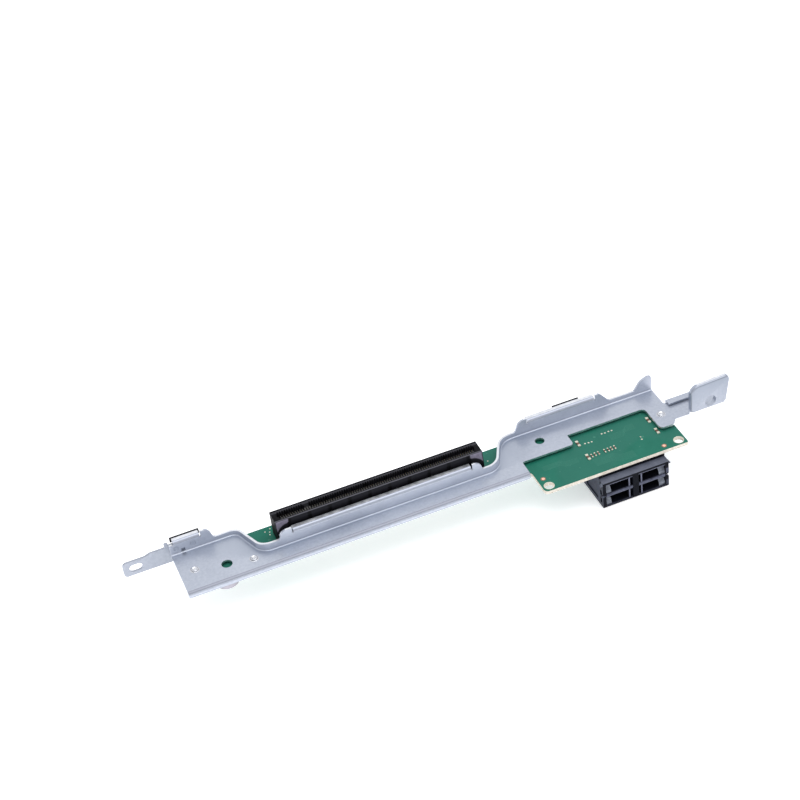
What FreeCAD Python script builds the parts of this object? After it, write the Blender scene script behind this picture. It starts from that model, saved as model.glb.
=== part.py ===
import FreeCAD, Part
import math
import os

# Riser card on a folded sheet bracket, millimetres, z up.
# Origin: centre of the card slot on the top face of the circuit board.
# x runs along the slot, y towards the folded back wall.

# Card slot
SLOT_LENGTH = 89.0
SLOT_WIDTH = 7.5
SLOT_HEIGHT = 11.25
CARD_GAP = 1.8
CARD_DEPTH = 9.0
SLOT_END_WALL = 1.9
SLOT_END_BLOCK = 5.0
KEY_FROM_END = 14.5
KEY_WIDTH = 1.7
SHORT_COUNT = 11
LONG_COUNT = 71
POCKET_WIDTH = 0.7
POCKET_WALL = 1.85
BLADE = 0.25
BLADE_WIDTH = 0.5
TAIL = 0.45
TAIL_LENGTH = 1.3
POST_R = 1.1
POST_CLEARANCE = 0.1

# Circuit board, measured from the slot's ends and front face
BOARD_THICK = 1.6
BOARD_LEFT_OF_SLOT = 38.0
BOARD_RIGHT_OF_SLOT = 80.75
STRIP_AHEAD = 8.9
WIDE_AHEAD = 23.1
WIDE_LENGTH = 64.25
BOARD_CORNER = 2.0
HOLE_EDGE = 3.0
HOLE_R = 2.0

# Folded bracket
SHEET = 1.0
BOARD_TO_SHEET = 1.0
BEND_IN = 0.6
LIP_GAP = 1.7
WALL_GAP = 4.5
OVER_LEFT = 3.0
OVER_RIGHT = 1.55
PLATE_AHEAD = 9.55
FRONT_DROP = 2.4
STEP_BEFORE_BOARD = 1.3
STEP_BEFORE_LIP = 1.3
TAB_GAP = 1.7
NOTCH_TO_WALL = 9.6
LEG_WIDTH = 8.6
RISE_HIGH = 7.2
RISE_LOW = 2.1
RISE_VALLEY = 3.3
BAND_RISE = 6.1
BAND_REACH = 1.9
BAND_DROP = 1.2
SLIT = 0.4
LEFT_BAND_IN = 1.8
LEFT_BAND = 11.0
RIGHT_BAND_PAST_SLOT = 25.3
RIGHT_BAND = 30.6
TAB_BEFORE_BAND = 4.1
TAB_AFTER_BAND = 2.4
LIP_BAND_LEFT = 5.9
LIP_BAND_RIGHT = 6.7
LEFT_HOLE_R = 2.2
LEFT_HOLE_IN = 18.6
LEFT_HOLE_BACK = 9.35
RIGHT_HOLE_R = 2.0
RIGHT_HOLE_IN = 11.8
RIGHT_HOLE_BACK = 2.3
RELIEF_IN = 4.5
RELIEF_LENGTH = 1.6

# Arm and grip
ARM_SETBACK = 2.4
ARM_DEPTH = 12.25
ARM_LENGTH = 23.4
HEM_WIDTH = 3.7
HEM_GAP = 0.2
GRIP_WIDTH = 16.6
GRIP_HEIGHT = 12.4
GRIP_SLANT = 0.9
GRIP_THICK = 2.2
GRIP_ROUND = 0.9
GRIP_HOLE_R = 2.5

# Side strap
STRAP_REACH = 19.5
STRAP_SHOULDER = 1.7
STRAP_FOOT = 12.0
STRAP_BELOW = 0.4
STRAP_HEIGHT = 7.0
STRAP_SLOT_LENGTH = 5.4
STRAP_SLOT_WIDTH = 3.4
STRAP_CLEARANCE = 0.45
RIVET_R = 1.0
RIVET_HEAD_R = 1.8
RIVET_HEAD = 0.7

# Standoffs, screws and foot, with their places from the sheet's edges
STANDOFF_R = 2.6
LEFT_STANDOFF_IN = 6.2
LEFT_STANDOFF_BACK = 12.1
MIDDLE_STANDOFF_BEFORE_SLOT = 11.9
MIDDLE_STANDOFF_BACK = 6.95
RIGHT_STANDOFF_IN = 4.3
RIGHT_STANDOFF_BACK = 7.8
NECK_R = 1.5
HEAD_R = 1.9
HEAD_RISE = 0.6
SCREW_R = 1.2
SCREW_HEAD_R = 2.2
SCREW_HEAD = 1.4
FIT = 0.05
FOOT_R = 5.0
FOOT_HEIGHT = 3.8
FOOT_WEB = 1.4
FOOT_IN = 17.0
FOOT_BACK = 4.4

# Cable port block
PORT_WIDTH = 29.8
PORT_FROM_RIGHT = 10.85
PORT_OVERHANG = 2.9
PORT_DEPTH = 20.0
HOOD_DROP = 1.8
HOOD = 1.55
HOOD_LIP = 0.4
HOOD_EDGE = 0.8
PORT_SIDE = 1.5
PORT_DIVIDER = 2.6
PORT_OPENING = 5.0
PORT_SHELF = 0.95
PORT_FLOOR = 0.9
CAVITY_DEPTH = 9.0
KEY_BLOCK = 2.6
RIB = 0.7
RIB_GAP = 1.1
TOP_BAR = 0.7
CARRIER_FACE = 4.5
CARRIER_MOUTH = 2.6
PORT_CONTACTS = 9
PORT_CONTACT = 0.4

# Black strips and underside capacitors
STRIP_THICK = 0.9
STRIP_RISE = 0.1
STRIP_DROP = 2.0
STRIP_PAST_BAND = 0.6
RIGHT_STRIP = 12.0
CAPACITORS = 14
CAPACITOR_PITCH = 4.4
CAPACITOR_DEPTH = 0.85

# Slot and board faces, worked out from the sizes above
SLOT_X0 = -SLOT_LENGTH / 2
SLOT_X1 = SLOT_LENGTH / 2
HALF_WIDTH = SLOT_WIDTH / 2
KEY_X = SLOT_X0 + KEY_FROM_END
POCKET_REACH = HALF_WIDTH - POCKET_WALL
BOARD_LOW = -BOARD_THICK
BOARD_LEFT = SLOT_X0 - BOARD_LEFT_OF_SLOT
BOARD_RIGHT = SLOT_X1 + BOARD_RIGHT_OF_SLOT
STRIP_FRONT = -HALF_WIDTH - STRIP_AHEAD
BOARD_FRONT = -HALF_WIDTH - WIDE_AHEAD
WIDE_LEFT = BOARD_RIGHT - WIDE_LENGTH

# Port block faces
PORT_LEFT = BOARD_RIGHT - PORT_FROM_RIGHT - PORT_WIDTH
PORT_RIGHT = PORT_LEFT + PORT_WIDTH
PORT_MID = PORT_LEFT + PORT_WIDTH / 2
PORT_FRONT = BOARD_FRONT - PORT_OVERHANG
PORT_BACK = PORT_FRONT + PORT_DEPTH
HOOD_TOP = BOARD_LOW - HOOD_DROP
UPPER_FLOOR = HOOD_TOP - HOOD - PORT_OPENING
LOWER_FLOOR = UPPER_FLOOR - PORT_SHELF - PORT_OPENING
PORT_BOTTOM = LOWER_FLOOR - PORT_FLOOR
OPENING_WIDTH = (PORT_WIDTH - 2 * PORT_SIDE - PORT_DIVIDER) / 2

# Bracket faces and levels
SHEET_LOW = BOARD_TO_SHEET
SHEET_TOP = SHEET_LOW + SHEET
WALL_HIGH = SHEET_TOP + RISE_HIGH
WALL_LOW = SHEET_TOP + RISE_LOW
VALLEY = SHEET_TOP + RISE_VALLEY
BAND_TOP = SHEET_TOP + BAND_RISE
WALL_IN = HALF_WIDTH + WALL_GAP
WALL_OUT = WALL_IN + SHEET
LIP_IN = -HALF_WIDTH - LIP_GAP - SHEET * 2
LIP_OUT = LIP_IN + SHEET
PLATE_LEFT = BOARD_LEFT - OVER_LEFT
PLATE_RIGHT = BOARD_RIGHT + OVER_RIGHT
PLATE_FRONT = LIP_OUT - PLATE_AHEAD
STEP_X = WIDE_LEFT - STEP_BEFORE_BOARD
STEP_Y = LIP_OUT - STEP_BEFORE_LIP
TAB_X = PORT_LEFT - TAB_GAP
NOTCH_Y = WALL_IN - NOTCH_TO_WALL
LEG_X = PLATE_RIGHT - LEG_WIDTH
ARM_FRONT = PLATE_FRONT + ARM_SETBACK
ARM_BACK = ARM_FRONT + ARM_DEPTH
ARM_RIGHT = PLATE_RIGHT + ARM_LENGTH
GRIP_LEFT = ARM_RIGHT - GRIP_WIDTH
GRIP_TOP = SHEET_TOP + GRIP_HEIGHT
STRAP_LEFT = PLATE_LEFT - STRAP_REACH
STRAP_RIGHT = PLATE_LEFT + STRAP_FOOT
STRAP_LOW = BOARD_LOW - STRAP_BELOW
STRAP_HIGH = STRAP_LOW + STRAP_HEIGHT

# Places of the standoffs, the foot and the round holes in the sheet
STANDOFFS = [
    (PLATE_LEFT + LEFT_STANDOFF_IN, PLATE_FRONT + LEFT_STANDOFF_BACK),
    (SLOT_X0 - MIDDLE_STANDOFF_BEFORE_SLOT, PLATE_FRONT + MIDDLE_STANDOFF_BACK),
    (PLATE_RIGHT - RIGHT_STANDOFF_IN, PLATE_FRONT + RIGHT_STANDOFF_BACK),
]
FOOT_X = PLATE_LEFT + FOOT_IN
FOOT_Y = STRIP_FRONT + FOOT_BACK
SHEET_HOLES = [
    (PLATE_LEFT + LEFT_HOLE_IN, PLATE_FRONT + LEFT_HOLE_BACK, LEFT_HOLE_R),
    (STEP_X + RIGHT_HOLE_IN, NOTCH_Y + RIGHT_HOLE_BACK, RIGHT_HOLE_R),
]

# Back edge of the bracket, left to right, as the outside of its folded wall
BACK_PATH = [
    (PLATE_LEFT, WALL_OUT, 0),
    (SLOT_X0 - 12.9, WALL_OUT, 5.0),
    (SLOT_X0 - 7.2, LIP_OUT, 5.0),
    (SLOT_X1 + 4.3, LIP_OUT, 6.0),
    (SLOT_X1 + 12.0, WALL_OUT, 9.0),
    (PLATE_RIGHT, WALL_OUT, 0),
]

# Stretches of wall whose top is turned back: x0, x1, front face, outer face
RIGHT_BAND_X0 = SLOT_X1 + RIGHT_BAND_PAST_SLOT
RIGHT_BAND_X1 = RIGHT_BAND_X0 + RIGHT_BAND
LEFT_BAND_X0 = PLATE_LEFT + LEFT_BAND_IN
BANDS = [
    (LEFT_BAND_X0, LEFT_BAND_X0 + LEFT_BAND, WALL_IN, WALL_OUT),
    (RIGHT_BAND_X0, RIGHT_BAND_X1, WALL_IN, WALL_OUT),
    (SLOT_X0 + LIP_BAND_LEFT, SLOT_X1 - LIP_BAND_RIGHT, LIP_IN, LIP_OUT),
]


def vec(x, y, z):
    return FreeCAD.Vector(x, y, z)


def box(x0, x1, y0, y1, z0, z1):
    return Part.makeBox(x1 - x0, y1 - y0, z1 - z0, vec(x0, y0, z0))


def post(x, y, z0, z1, r):
    return Part.makeCylinder(r, z1 - z0, vec(x, y, z0))


def rod(x, z, y0, y1, r):
    return Part.makeCylinder(r, y1 - y0, vec(x, y0, z), vec(0, 1, 0))


def rims(shape, axis, level):
    # closed round edges of shape that lie at a level of the axis
    found = []
    for edge in shape.Edges:
        middle = edge.valueAt((edge.FirstParameter + edge.LastParameter) / 2)
        if edge.isClosed() and abs(getattr(middle, axis) - level) < 0.01:
            found.append(edge)
    return found


def unit(a, b):
    length = math.hypot(b[0] - a[0], b[1] - a[1])
    return ((b[0] - a[0]) / length, (b[1] - a[1]) / length)


def corner_arc(a, b, c):
    # tangent points and middle of the arc that rounds corner b
    into = unit(b, a)
    out = unit(b, c)
    half = math.acos(max(-1.0, min(1.0, into[0] * out[0] + into[1] * out[1]))) / 2
    reach = b[2] / math.tan(half)
    start = (b[0] + into[0] * reach, b[1] + into[1] * reach)
    end = (b[0] + out[0] * reach, b[1] + out[1] * reach)
    away = unit((0, 0), (into[0] + out[0], into[1] + out[1]))
    far = b[2] / math.sin(half) - b[2]
    middle = (b[0] + away[0] * far, b[1] + away[1] * far)
    return start, middle, end


def rounded(corners, place):
    # closed face through corners (u, v, radius); place turns u, v into a point
    edges = []
    first = None
    last = None
    count = len(corners)
    for i in range(count):
        a = corners[i - 1]
        b = corners[i]
        c = corners[(i + 1) % count]
        if b[2] > 0:
            start, middle, end = corner_arc(a, b, c)
        else:
            start, middle, end = b, None, b
        if last is not None:
            edges.append(Part.makeLine(place(*last[:2]), place(*start[:2])))
        else:
            first = start
        if middle is not None:
            arc = Part.Arc(place(*start), place(*middle), place(*end))
            edges.append(arc.toShape())
        last = end
    edges.append(Part.makeLine(place(*last[:2]), place(*first[:2])))
    return Part.Face(Part.Wire(edges))


def plan(corners, z0, z1):
    face = rounded(corners, lambda u, v: vec(u, v, z0))
    return face.extrude(vec(0, 0, z1 - z0))


def front_view(corners, y0, y1):
    face = rounded(corners, lambda u, v: vec(u, y0, v))
    return face.extrude(vec(0, y1 - y0, 0))


def side_view(corners, x0, x1):
    face = rounded(corners, lambda u, v: vec(x0, u, v))
    return face.extrude(vec(x1 - x0, 0, 0))


def joined(shapes):
    whole = shapes[0]
    if len(shapes) > 1:
        whole = whole.fuse(shapes[1:])
    return whole.removeSplitter()


def parallel(path, gap):
    # the same path, moved to its right-hand side by gap, radii following
    moved = []
    for i, (x, y, r) in enumerate(path):
        before = path[i - 1] if i > 0 else None
        after = path[i + 1] if i < len(path) - 1 else None
        if before is None or after is None:
            near = after if before is None else before
            d = unit(path[i], near) if before is None else unit(near, path[i])
            moved.append((x + d[1] * gap, y - d[0] * gap, 0))
            continue
        d0 = unit(before, path[i])
        d1 = unit(path[i], after)
        turn = d0[0] * d1[1] - d0[1] * d1[0]
        p0 = (x + d0[1] * gap, y - d0[0] * gap)
        p1 = (x + d1[1] * gap, y - d1[0] * gap)
        s = ((p1[0] - p0[0]) * d1[1] - (p1[1] - p0[1]) * d1[0]) / turn
        new_r = r - gap if turn < 0 else r + gap
        moved.append((p0[0] + d0[0] * s, p0[1] + d0[1] * s, new_r))
    return moved


def edges_on(shape, path, z):
    # edges of shape at height z that lie on the path
    closing = [(path[-1][0], path[-1][1] + 60, 0), (path[0][0], path[0][1] + 60, 0)]
    wire = rounded(path + closing, lambda u, v: vec(u, v, z)).OuterWire
    found = []
    for edge in shape.Edges:
        middle = edge.valueAt((edge.FirstParameter + edge.LastParameter) / 2)
        if abs(middle.z - z) > 0.01:
            continue
        if middle.y > path[0][1] + 0.01:
            continue
        if wire.distToShape(Part.Vertex(middle))[0] < 0.01:
            found.append(edge)
    return found


def hem_radius():
    return SHEET + HEM_GAP / 2


def sheet_outline():
    bend = SHEET + BEND_IN
    hem_y = ARM_BACK - hem_radius()
    front = [
        (PLATE_LEFT, PLATE_FRONT + bend, 0),
        (STEP_X, PLATE_FRONT + bend, 0),
        (STEP_X, STEP_Y, 0.8),
        (TAB_X, STEP_Y, 1.6),
        (TAB_X, NOTCH_Y, 0.3),
        (LEG_X, NOTCH_Y, 2.0),
        (LEG_X, PLATE_FRONT, 2.2),
        (PLATE_RIGHT - 2.2, PLATE_FRONT, 0.8),
        (PLATE_RIGHT - 0.6, ARM_FRONT, 0.6),
        (GRIP_LEFT - 0.5, ARM_FRONT, 0.2),
        (GRIP_LEFT - 0.5, ARM_FRONT + bend, 0),
        (ARM_RIGHT, ARM_FRONT + bend, 0),
        (ARM_RIGHT, hem_y, 0),
        (PLATE_RIGHT, hem_y, 0.9),
    ]
    return front + list(reversed(BACK_PATH))


def front_turn():
    # the plate's front edge, turned down in front of the board's narrow strip
    low = SHEET_TOP - FRONT_DROP
    turn = side_view([
        (PLATE_FRONT, low, 0),
        (PLATE_FRONT, SHEET_TOP, SHEET + BEND_IN),
        (PLATE_FRONT + SHEET + BEND_IN + 0.5, SHEET_TOP, 0),
        (PLATE_FRONT + SHEET + BEND_IN + 0.5, SHEET_LOW, 0),
        (PLATE_FRONT + SHEET, SHEET_LOW, BEND_IN),
        (PLATE_FRONT + SHEET, low, 0),
    ], PLATE_LEFT, STEP_X)
    shape = front_view([
        (PLATE_LEFT, low, 0.7),
        (PLATE_LEFT, SHEET_TOP + 1, 0),
        (STEP_X, SHEET_TOP + 1, 0),
        (STEP_X, low, 0.7),
    ], PLATE_FRONT - 1, PLATE_FRONT + 5)
    return turn.common(shape)


def sheet_with_wall():
    # flat sheet and the wall that follows its back edge, both bends rounded
    flat = plan(sheet_outline(), SHEET_LOW, SHEET_TOP)
    inside = parallel(BACK_PATH, SHEET)
    ring = BACK_PATH + list(reversed(inside))
    wall = plan(ring, SHEET_LOW, GRIP_TOP)
    body = joined([flat, wall])
    body = body.makeFillet(BEND_IN, edges_on(body, inside, SHEET_TOP))
    return body.makeFillet(BEND_IN + SHEET, edges_on(body, BACK_PATH, SHEET_LOW))


def wall_profile():
    # height of the folded wall along x, seen from the front: two high stretches
    # and a horn on the back wall, and the rounded lip in front of the slot
    low = SHEET_LOW - 2
    corner = BAND_TOP - BAND_DROP
    lip_left = SLOT_X0 + 0.1
    lip_right = SLOT_X1 - 2.1
    end = ARM_RIGHT + 5
    return [
        (PLATE_LEFT - 1, low, 0),
        (PLATE_LEFT - 1, corner, 0),
        (LEFT_BAND_X0 + 1, corner, 0),
        (LEFT_BAND_X0 + 1, WALL_HIGH, 0),
        (PLATE_LEFT + 16.6, WALL_HIGH, 3.0),
        (PLATE_LEFT + 18.2, WALL_LOW, 0.8),
        (SLOT_X0 - 14.5, WALL_LOW, 4.0),
        (SLOT_X0 - 5.5, VALLEY, 4.0),
        (lip_left, VALLEY, 0.5),
        (lip_left, WALL_HIGH, 3.2),
        (lip_right, WALL_HIGH, 3.2),
        (lip_right, VALLEY, 0.5),
        (SLOT_X1 + 5.5, VALLEY, 4.0),
        (SLOT_X1 + 15.5, WALL_LOW, 4.0),
        (RIGHT_BAND_X0 - TAB_BEFORE_BAND - 1.7, WALL_LOW, 0.8),
        (RIGHT_BAND_X0 - TAB_BEFORE_BAND, WALL_HIGH, 4.0),
        (RIGHT_BAND_X1 + TAB_AFTER_BAND, WALL_HIGH, 2.8),
        (RIGHT_BAND_X1 + TAB_AFTER_BAND + 4.1, WALL_LOW, 0.8),
        (PLATE_RIGHT - 8.2, WALL_LOW, 0.8),
        (PLATE_RIGHT - 5.2, WALL_HIGH - 0.9, 4.0),
        (PLATE_RIGHT, WALL_HIGH + 1.0, 1.3),
        (PLATE_RIGHT, SHEET_TOP, 0),
        (end, SHEET_TOP, 0),
        (end, low, 0),
    ]


def band(x0, x1, front, out):
    # top of a wall turned back through a right angle
    low = BAND_TOP - SHEET - BAND_DROP
    corners = [
        (front, low, 0),
        (front, BAND_TOP, SHEET + 0.3),
        (out + BAND_REACH, BAND_TOP, 0),
        (out + BAND_REACH, BAND_TOP - SHEET, 0),
        (out, BAND_TOP - SHEET, 0.3),
        (out, low, 0),
    ]
    return side_view(corners, x0, x1)


def hem():
    # arm's far edge folded flat over its own top face
    r = hem_radius()
    middle = SHEET_TOP + HEM_GAP / 2
    y = ARM_BACK - r
    x0 = PLATE_RIGHT + 1.1
    roll = Part.makeCylinder(r, ARM_RIGHT - x0, vec(x0, y, middle), vec(1, 0, 0))
    core = Part.makeCylinder(HEM_GAP / 2, ARM_RIGHT - x0, vec(x0, y, middle), vec(1, 0, 0))
    half = box(x0, ARM_RIGHT, y, y + r, SHEET_LOW, middle + r)
    layer = box(x0, ARM_RIGHT, ARM_BACK - HEM_WIDTH, y, SHEET_TOP + HEM_GAP, middle + r)
    return joined([roll.cut(core).common(half), layer])


def grip():
    # upright grip at the arm's end, the rim of its front face rounded
    left = GRIP_LEFT
    low = SHEET_TOP + BEND_IN
    corners = [
        (left, low, 0),
        (left, GRIP_TOP, 4.2),
        (ARM_RIGHT + 1.9, GRIP_TOP + GRIP_SLANT, 2.2),
        (ARM_RIGHT, low, 0),
    ]
    leaf = front_view(corners, ARM_FRONT, ARM_FRONT + GRIP_THICK)
    outer = []
    for edge in leaf.Edges:
        mid = edge.valueAt((edge.FirstParameter + edge.LastParameter) / 2)
        if abs(mid.y - ARM_FRONT) < 0.01 and mid.z > low + 0.5:
            outer.append(edge)
    leaf = leaf.makeFillet(GRIP_ROUND, outer)
    turn = side_view([
        (ARM_FRONT, low + 0.4, 0),
        (ARM_FRONT, SHEET_LOW, SHEET + BEND_IN),
        (ARM_FRONT + GRIP_THICK + 2, SHEET_LOW, 0),
        (ARM_FRONT + GRIP_THICK + 2, SHEET_TOP, 0),
        (ARM_FRONT + SHEET, SHEET_TOP, BEND_IN),
        (ARM_FRONT + SHEET, low + 0.4, 0),
    ], left + GRIP_ROUND, ARM_RIGHT - GRIP_ROUND)
    hole = rod((left + ARM_RIGHT) / 2 + 0.8, low + GRIP_HOLE_R, ARM_FRONT - 1,
               ARM_FRONT + GRIP_THICK + 1, GRIP_HOLE_R)
    return joined([leaf, turn]).cut(hole)


def bracket():
    body = sheet_with_wall()
    body = body.common(front_view(wall_profile(), PLATE_FRONT - 1, WALL_OUT + 1))
    cuts = []
    for a, b, front, out in BANDS:
        low = BAND_TOP - SHEET - BAND_DROP
        cuts.append(box(a - SLIT, b + SLIT, front - 0.5, out + 0.5, low + 0.6, GRIP_TOP))
        cuts.append(box(a, b, front - 0.5, out + 0.5, low, GRIP_TOP))
    relief = PLATE_LEFT + RELIEF_IN
    cuts.append(box(relief, relief + RELIEF_LENGTH, WALL_IN - BEND_IN, WALL_OUT + 1,
                    SHEET_TOP + 0.4, SHEET_TOP + 2))
    for x, y, r in SHEET_HOLES:
        cuts.append(post(x, y, SHEET_LOW - 1, SHEET_TOP + 1, r))
    for x, y in STANDOFFS:
        cuts.append(post(x, y, SHEET_LOW - 1, SHEET_TOP + 1, NECK_R + FIT))
    for x, z in rivet_places():
        cuts.append(rod(x, z, WALL_IN - 1, WALL_OUT + 1, RIVET_R + FIT))
    body = body.cut(cuts)
    folded = [band(*row) for row in BANDS]
    return joined([body] + folded + [front_turn(), hem(), grip()])


def rivet_places():
    z = (SHEET_TOP + BAND_TOP - SHEET) / 2 + 0.15
    return [(PLATE_LEFT + 2.6, z), (STRAP_RIGHT - 2.4, z)]


def side_strap():
    # upright strap against the outside of the back wall
    shoulder = PLATE_LEFT - STRAP_SHOULDER
    high = BAND_TOP - 0.2
    under = BAND_TOP - SHEET - STRAP_CLEARANCE
    corners = [
        (STRAP_LEFT, STRAP_LOW, 1.5),
        (STRAP_LEFT, STRAP_HIGH, 1.8),
        (STRAP_LEFT + 9.4, STRAP_HIGH, 1.5),
        (STRAP_LEFT + 11.6, STRAP_HIGH + 0.9, 1.5),
        (shoulder, STRAP_HIGH + 0.9, 0.4),
        (shoulder, high, 0.4),
        (PLATE_LEFT - 0.1, high, 0.3),
        (PLATE_LEFT - 0.1, under, 0.2),
        (STRAP_RIGHT, under, 1.0),
        (STRAP_RIGHT, STRAP_LOW, 1.0),
    ]
    strap = front_view(corners, WALL_OUT, WALL_OUT + SHEET)
    x = STRAP_LEFT + 5.2
    z = (STRAP_LOW + STRAP_HIGH) / 2 - 0.1
    r = STRAP_SLOT_WIDTH / 2
    half = STRAP_SLOT_LENGTH / 2
    slot = front_view([
        (x - half, z - r, r - 0.01),
        (x - half, z + r, r - 0.01),
        (x + half, z + r, r - 0.01),
        (x + half, z - r, r - 0.01),
    ], WALL_OUT - 1, WALL_OUT + SHEET + 1)
    cuts = [slot]
    for rx, rz in rivet_places():
        cuts.append(rod(rx, rz, WALL_OUT - 1, WALL_OUT + SHEET + 1, RIVET_R + FIT))
    return strap.cut(cuts)


def strap_rivets():
    rivets = []
    seat = WALL_OUT + SHEET
    for x, z in rivet_places():
        shank = rod(x, z, WALL_IN, seat, RIVET_R)
        head = Part.makeCone(RIVET_HEAD_R, RIVET_HEAD_R - RIVET_HEAD, RIVET_HEAD,
                             vec(x, seat, z), vec(0, 1, 0))
        rivets.append(joined([shank, head]))
    return Part.makeCompound(rivets)


def post_places():
    return [(KEY_X, 0), (SLOT_X1 - 6.5, 0)]


def board():
    outline = [
        (BOARD_LEFT, STRIP_FRONT, 1.0),
        (WIDE_LEFT, STRIP_FRONT, BOARD_CORNER),
        (WIDE_LEFT, BOARD_FRONT, BOARD_CORNER),
        (BOARD_RIGHT, BOARD_FRONT, 0.5),
        (BOARD_RIGHT, WALL_IN, 0.5),
        (BOARD_LEFT, WALL_IN, 1.0),
    ]
    flat = plan(outline, BOARD_LOW, 0)
    cuts = []
    y = BOARD_FRONT + HOLE_EDGE
    for x in (WIDE_LEFT + HOLE_EDGE, BOARD_RIGHT - HOLE_EDGE):
        cuts.append(post(x, y, BOARD_LOW - 1, 1, HOLE_R))
    for x, y in STANDOFFS:
        cuts.append(post(x, y, BOARD_LOW - 1, 1, SCREW_R + 3 * FIT))
    for x, y in post_places():
        cuts.append(post(x, y, BOARD_LOW - 1, 1, POST_R + POST_CLEARANCE))
    cuts.append(post(FOOT_X, FOOT_Y, BOARD_LOW - 1, BOARD_LOW + 1.1, SCREW_R + 3 * FIT))
    return flat.cut(cuts)


def contact_columns():
    # middle of each contact: a short run left of the key, a long run right of it
    key0 = KEY_X - KEY_WIDTH / 2
    key1 = KEY_X + KEY_WIDTH / 2
    runs = [
        (SLOT_X0 + SLOT_END_WALL, key0, SHORT_COUNT),
        (key1, SLOT_X1 - SLOT_END_WALL, LONG_COUNT),
    ]
    columns = []
    for start, end, count in runs:
        pitch = (end - start) / (count + 0.75)
        for i in range(count):
            columns.append((start + end) / 2 + (i - (count - 1) / 2) * pitch)
    return columns


def slot_housing():
    # moulded housing: walls, keyed card gap and one pocket for each contact
    bevel = 0.35
    outer = side_view([
        (-HALF_WIDTH, 0, 0),
        (-HALF_WIDTH, SLOT_HEIGHT - bevel, 0),
        (-HALF_WIDTH + bevel, SLOT_HEIGHT, 0),
        (HALF_WIDTH - bevel, SLOT_HEIGHT, 0),
        (HALF_WIDTH, SLOT_HEIGHT - bevel, 0),
        (HALF_WIDTH, 0, 0),
    ], SLOT_X0, SLOT_X1)
    half = CARD_GAP / 2
    top = SLOT_HEIGHT + 1
    floor = SLOT_HEIGHT - CARD_DEPTH
    key0 = KEY_X - KEY_WIDTH / 2
    key1 = KEY_X + KEY_WIDTH / 2
    cuts = [
        box(SLOT_X0 + SLOT_END_WALL, key0, -half, half, floor, top),
        box(key1, SLOT_X1 - SLOT_END_WALL, -half, half, floor, top),
    ]
    for x in contact_columns():
        cuts.append(box(x - POCKET_WIDTH / 2, x + POCKET_WIDTH / 2,
                        -POCKET_REACH, POCKET_REACH, floor, top))
    rail = SLOT_HEIGHT - 1.7
    block = SLOT_END_BLOCK
    step = (SLOT_X1 - block - KEY_X) / 8.15
    for s in (-1, 1):
        face = s * HALF_WIDTH
        near = sorted((face - s * 0.45, face + s))
        deep = sorted((face - s * 0.8, face + s))
        cuts.append(box(SLOT_X0 + block, SLOT_X1 - block, near[0], near[1], 1.2, rail))
        for i in range(8):
            x = KEY_X + i * step
            cuts.append(box(x - 0.8, x + 0.8, deep[0], deep[1], 1.2, rail))
    wedge = [
        (-HALF_WIDTH + 0.3, 0, 0),
        (-HALF_WIDTH - 0.7, 0, 0),
        (-HALF_WIDTH - 0.7, SLOT_HEIGHT / 2, 0),
        (-HALF_WIDTH + 0.3, SLOT_HEIGHT - 0.65, 0),
    ]
    solids = [outer.cut(cuts)]
    for x0 in (SLOT_X0, SLOT_X1 - block):
        solids.append(side_view(wedge, x0, x0 + block))
    for x, y in post_places():
        solids.append(post(x, y, BOARD_LOW, 0.2, POST_R))
    return joined(solids)


def slot_contacts(side):
    # one row of sprung blades, and their tails below the board
    reach = POCKET_REACH
    near = CARD_GAP / 2 + 0.1
    low = SLOT_HEIGHT - CARD_DEPTH
    tip = SLOT_HEIGHT - 1.9
    shape = [
        (reach, low, 0),
        (near, tip, 0),
        (near - BLADE, tip, 0),
        (reach - BLADE, low, 0),
    ]
    rows = []
    half = TAIL / 2
    for i, x in enumerate(contact_columns()):
        corners = [(side * u, v, r) for u, v, r in shape]
        rows.append(side_view(corners, x - BLADE_WIDTH / 2, x + BLADE_WIDTH / 2))
        y = side * (HALF_WIDTH - 0.5 if i % 2 else HALF_WIDTH - 2)
        rows.append(box(x - half, x + half, y - half, y + half,
                        BOARD_LOW - TAIL_LENGTH, BOARD_LOW))
    return Part.makeCompound(rows)


def openings():
    # left edge and floor of each port
    left = PORT_LEFT + PORT_SIDE
    right = PORT_MID + PORT_DIVIDER / 2
    upper = [(left, UPPER_FLOOR), (right, UPPER_FLOOR)]
    lower = [(left, LOWER_FLOOR), (right, LOWER_FLOOR)]
    return upper, lower


def key_block(x, floor, outer):
    # sloped block at the outer side of a port, set back from the mouth
    y0 = PORT_FRONT + 0.9
    y1 = PORT_FRONT + CAVITY_DEPTH
    x0 = x if outer < 0 else x + OPENING_WIDTH - KEY_BLOCK
    corners = [
        (y0, floor - 0.3, 0),
        (y0, floor + 1.2, 0),
        (y0 + 2.2, floor + PORT_OPENING - 0.8, 0),
        (y1, floor + PORT_OPENING - 0.8, 0),
        (y1, floor - 0.3, 0),
    ]
    return side_view(corners, x0, x0 + KEY_BLOCK)


def inner_rib(x, floor, outer):
    y0 = PORT_FRONT + 0.5
    x0 = x + OPENING_WIDTH - RIB_GAP - RIB if outer < 0 else x + RIB_GAP
    return box(x0, x0 + RIB, y0, PORT_FRONT + CAVITY_DEPTH,
               floor - 0.3, floor + PORT_OPENING + 0.3)


def top_bar(x, floor):
    # bar across the top of a port, set back from the mouth
    top = floor + PORT_OPENING
    return box(x - 0.3, x + OPENING_WIDTH + 0.3, PORT_FRONT + 0.4, PORT_FRONT + CARRIER_FACE - 0.6,
               top - TOP_BAR, top + 0.3)


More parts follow.
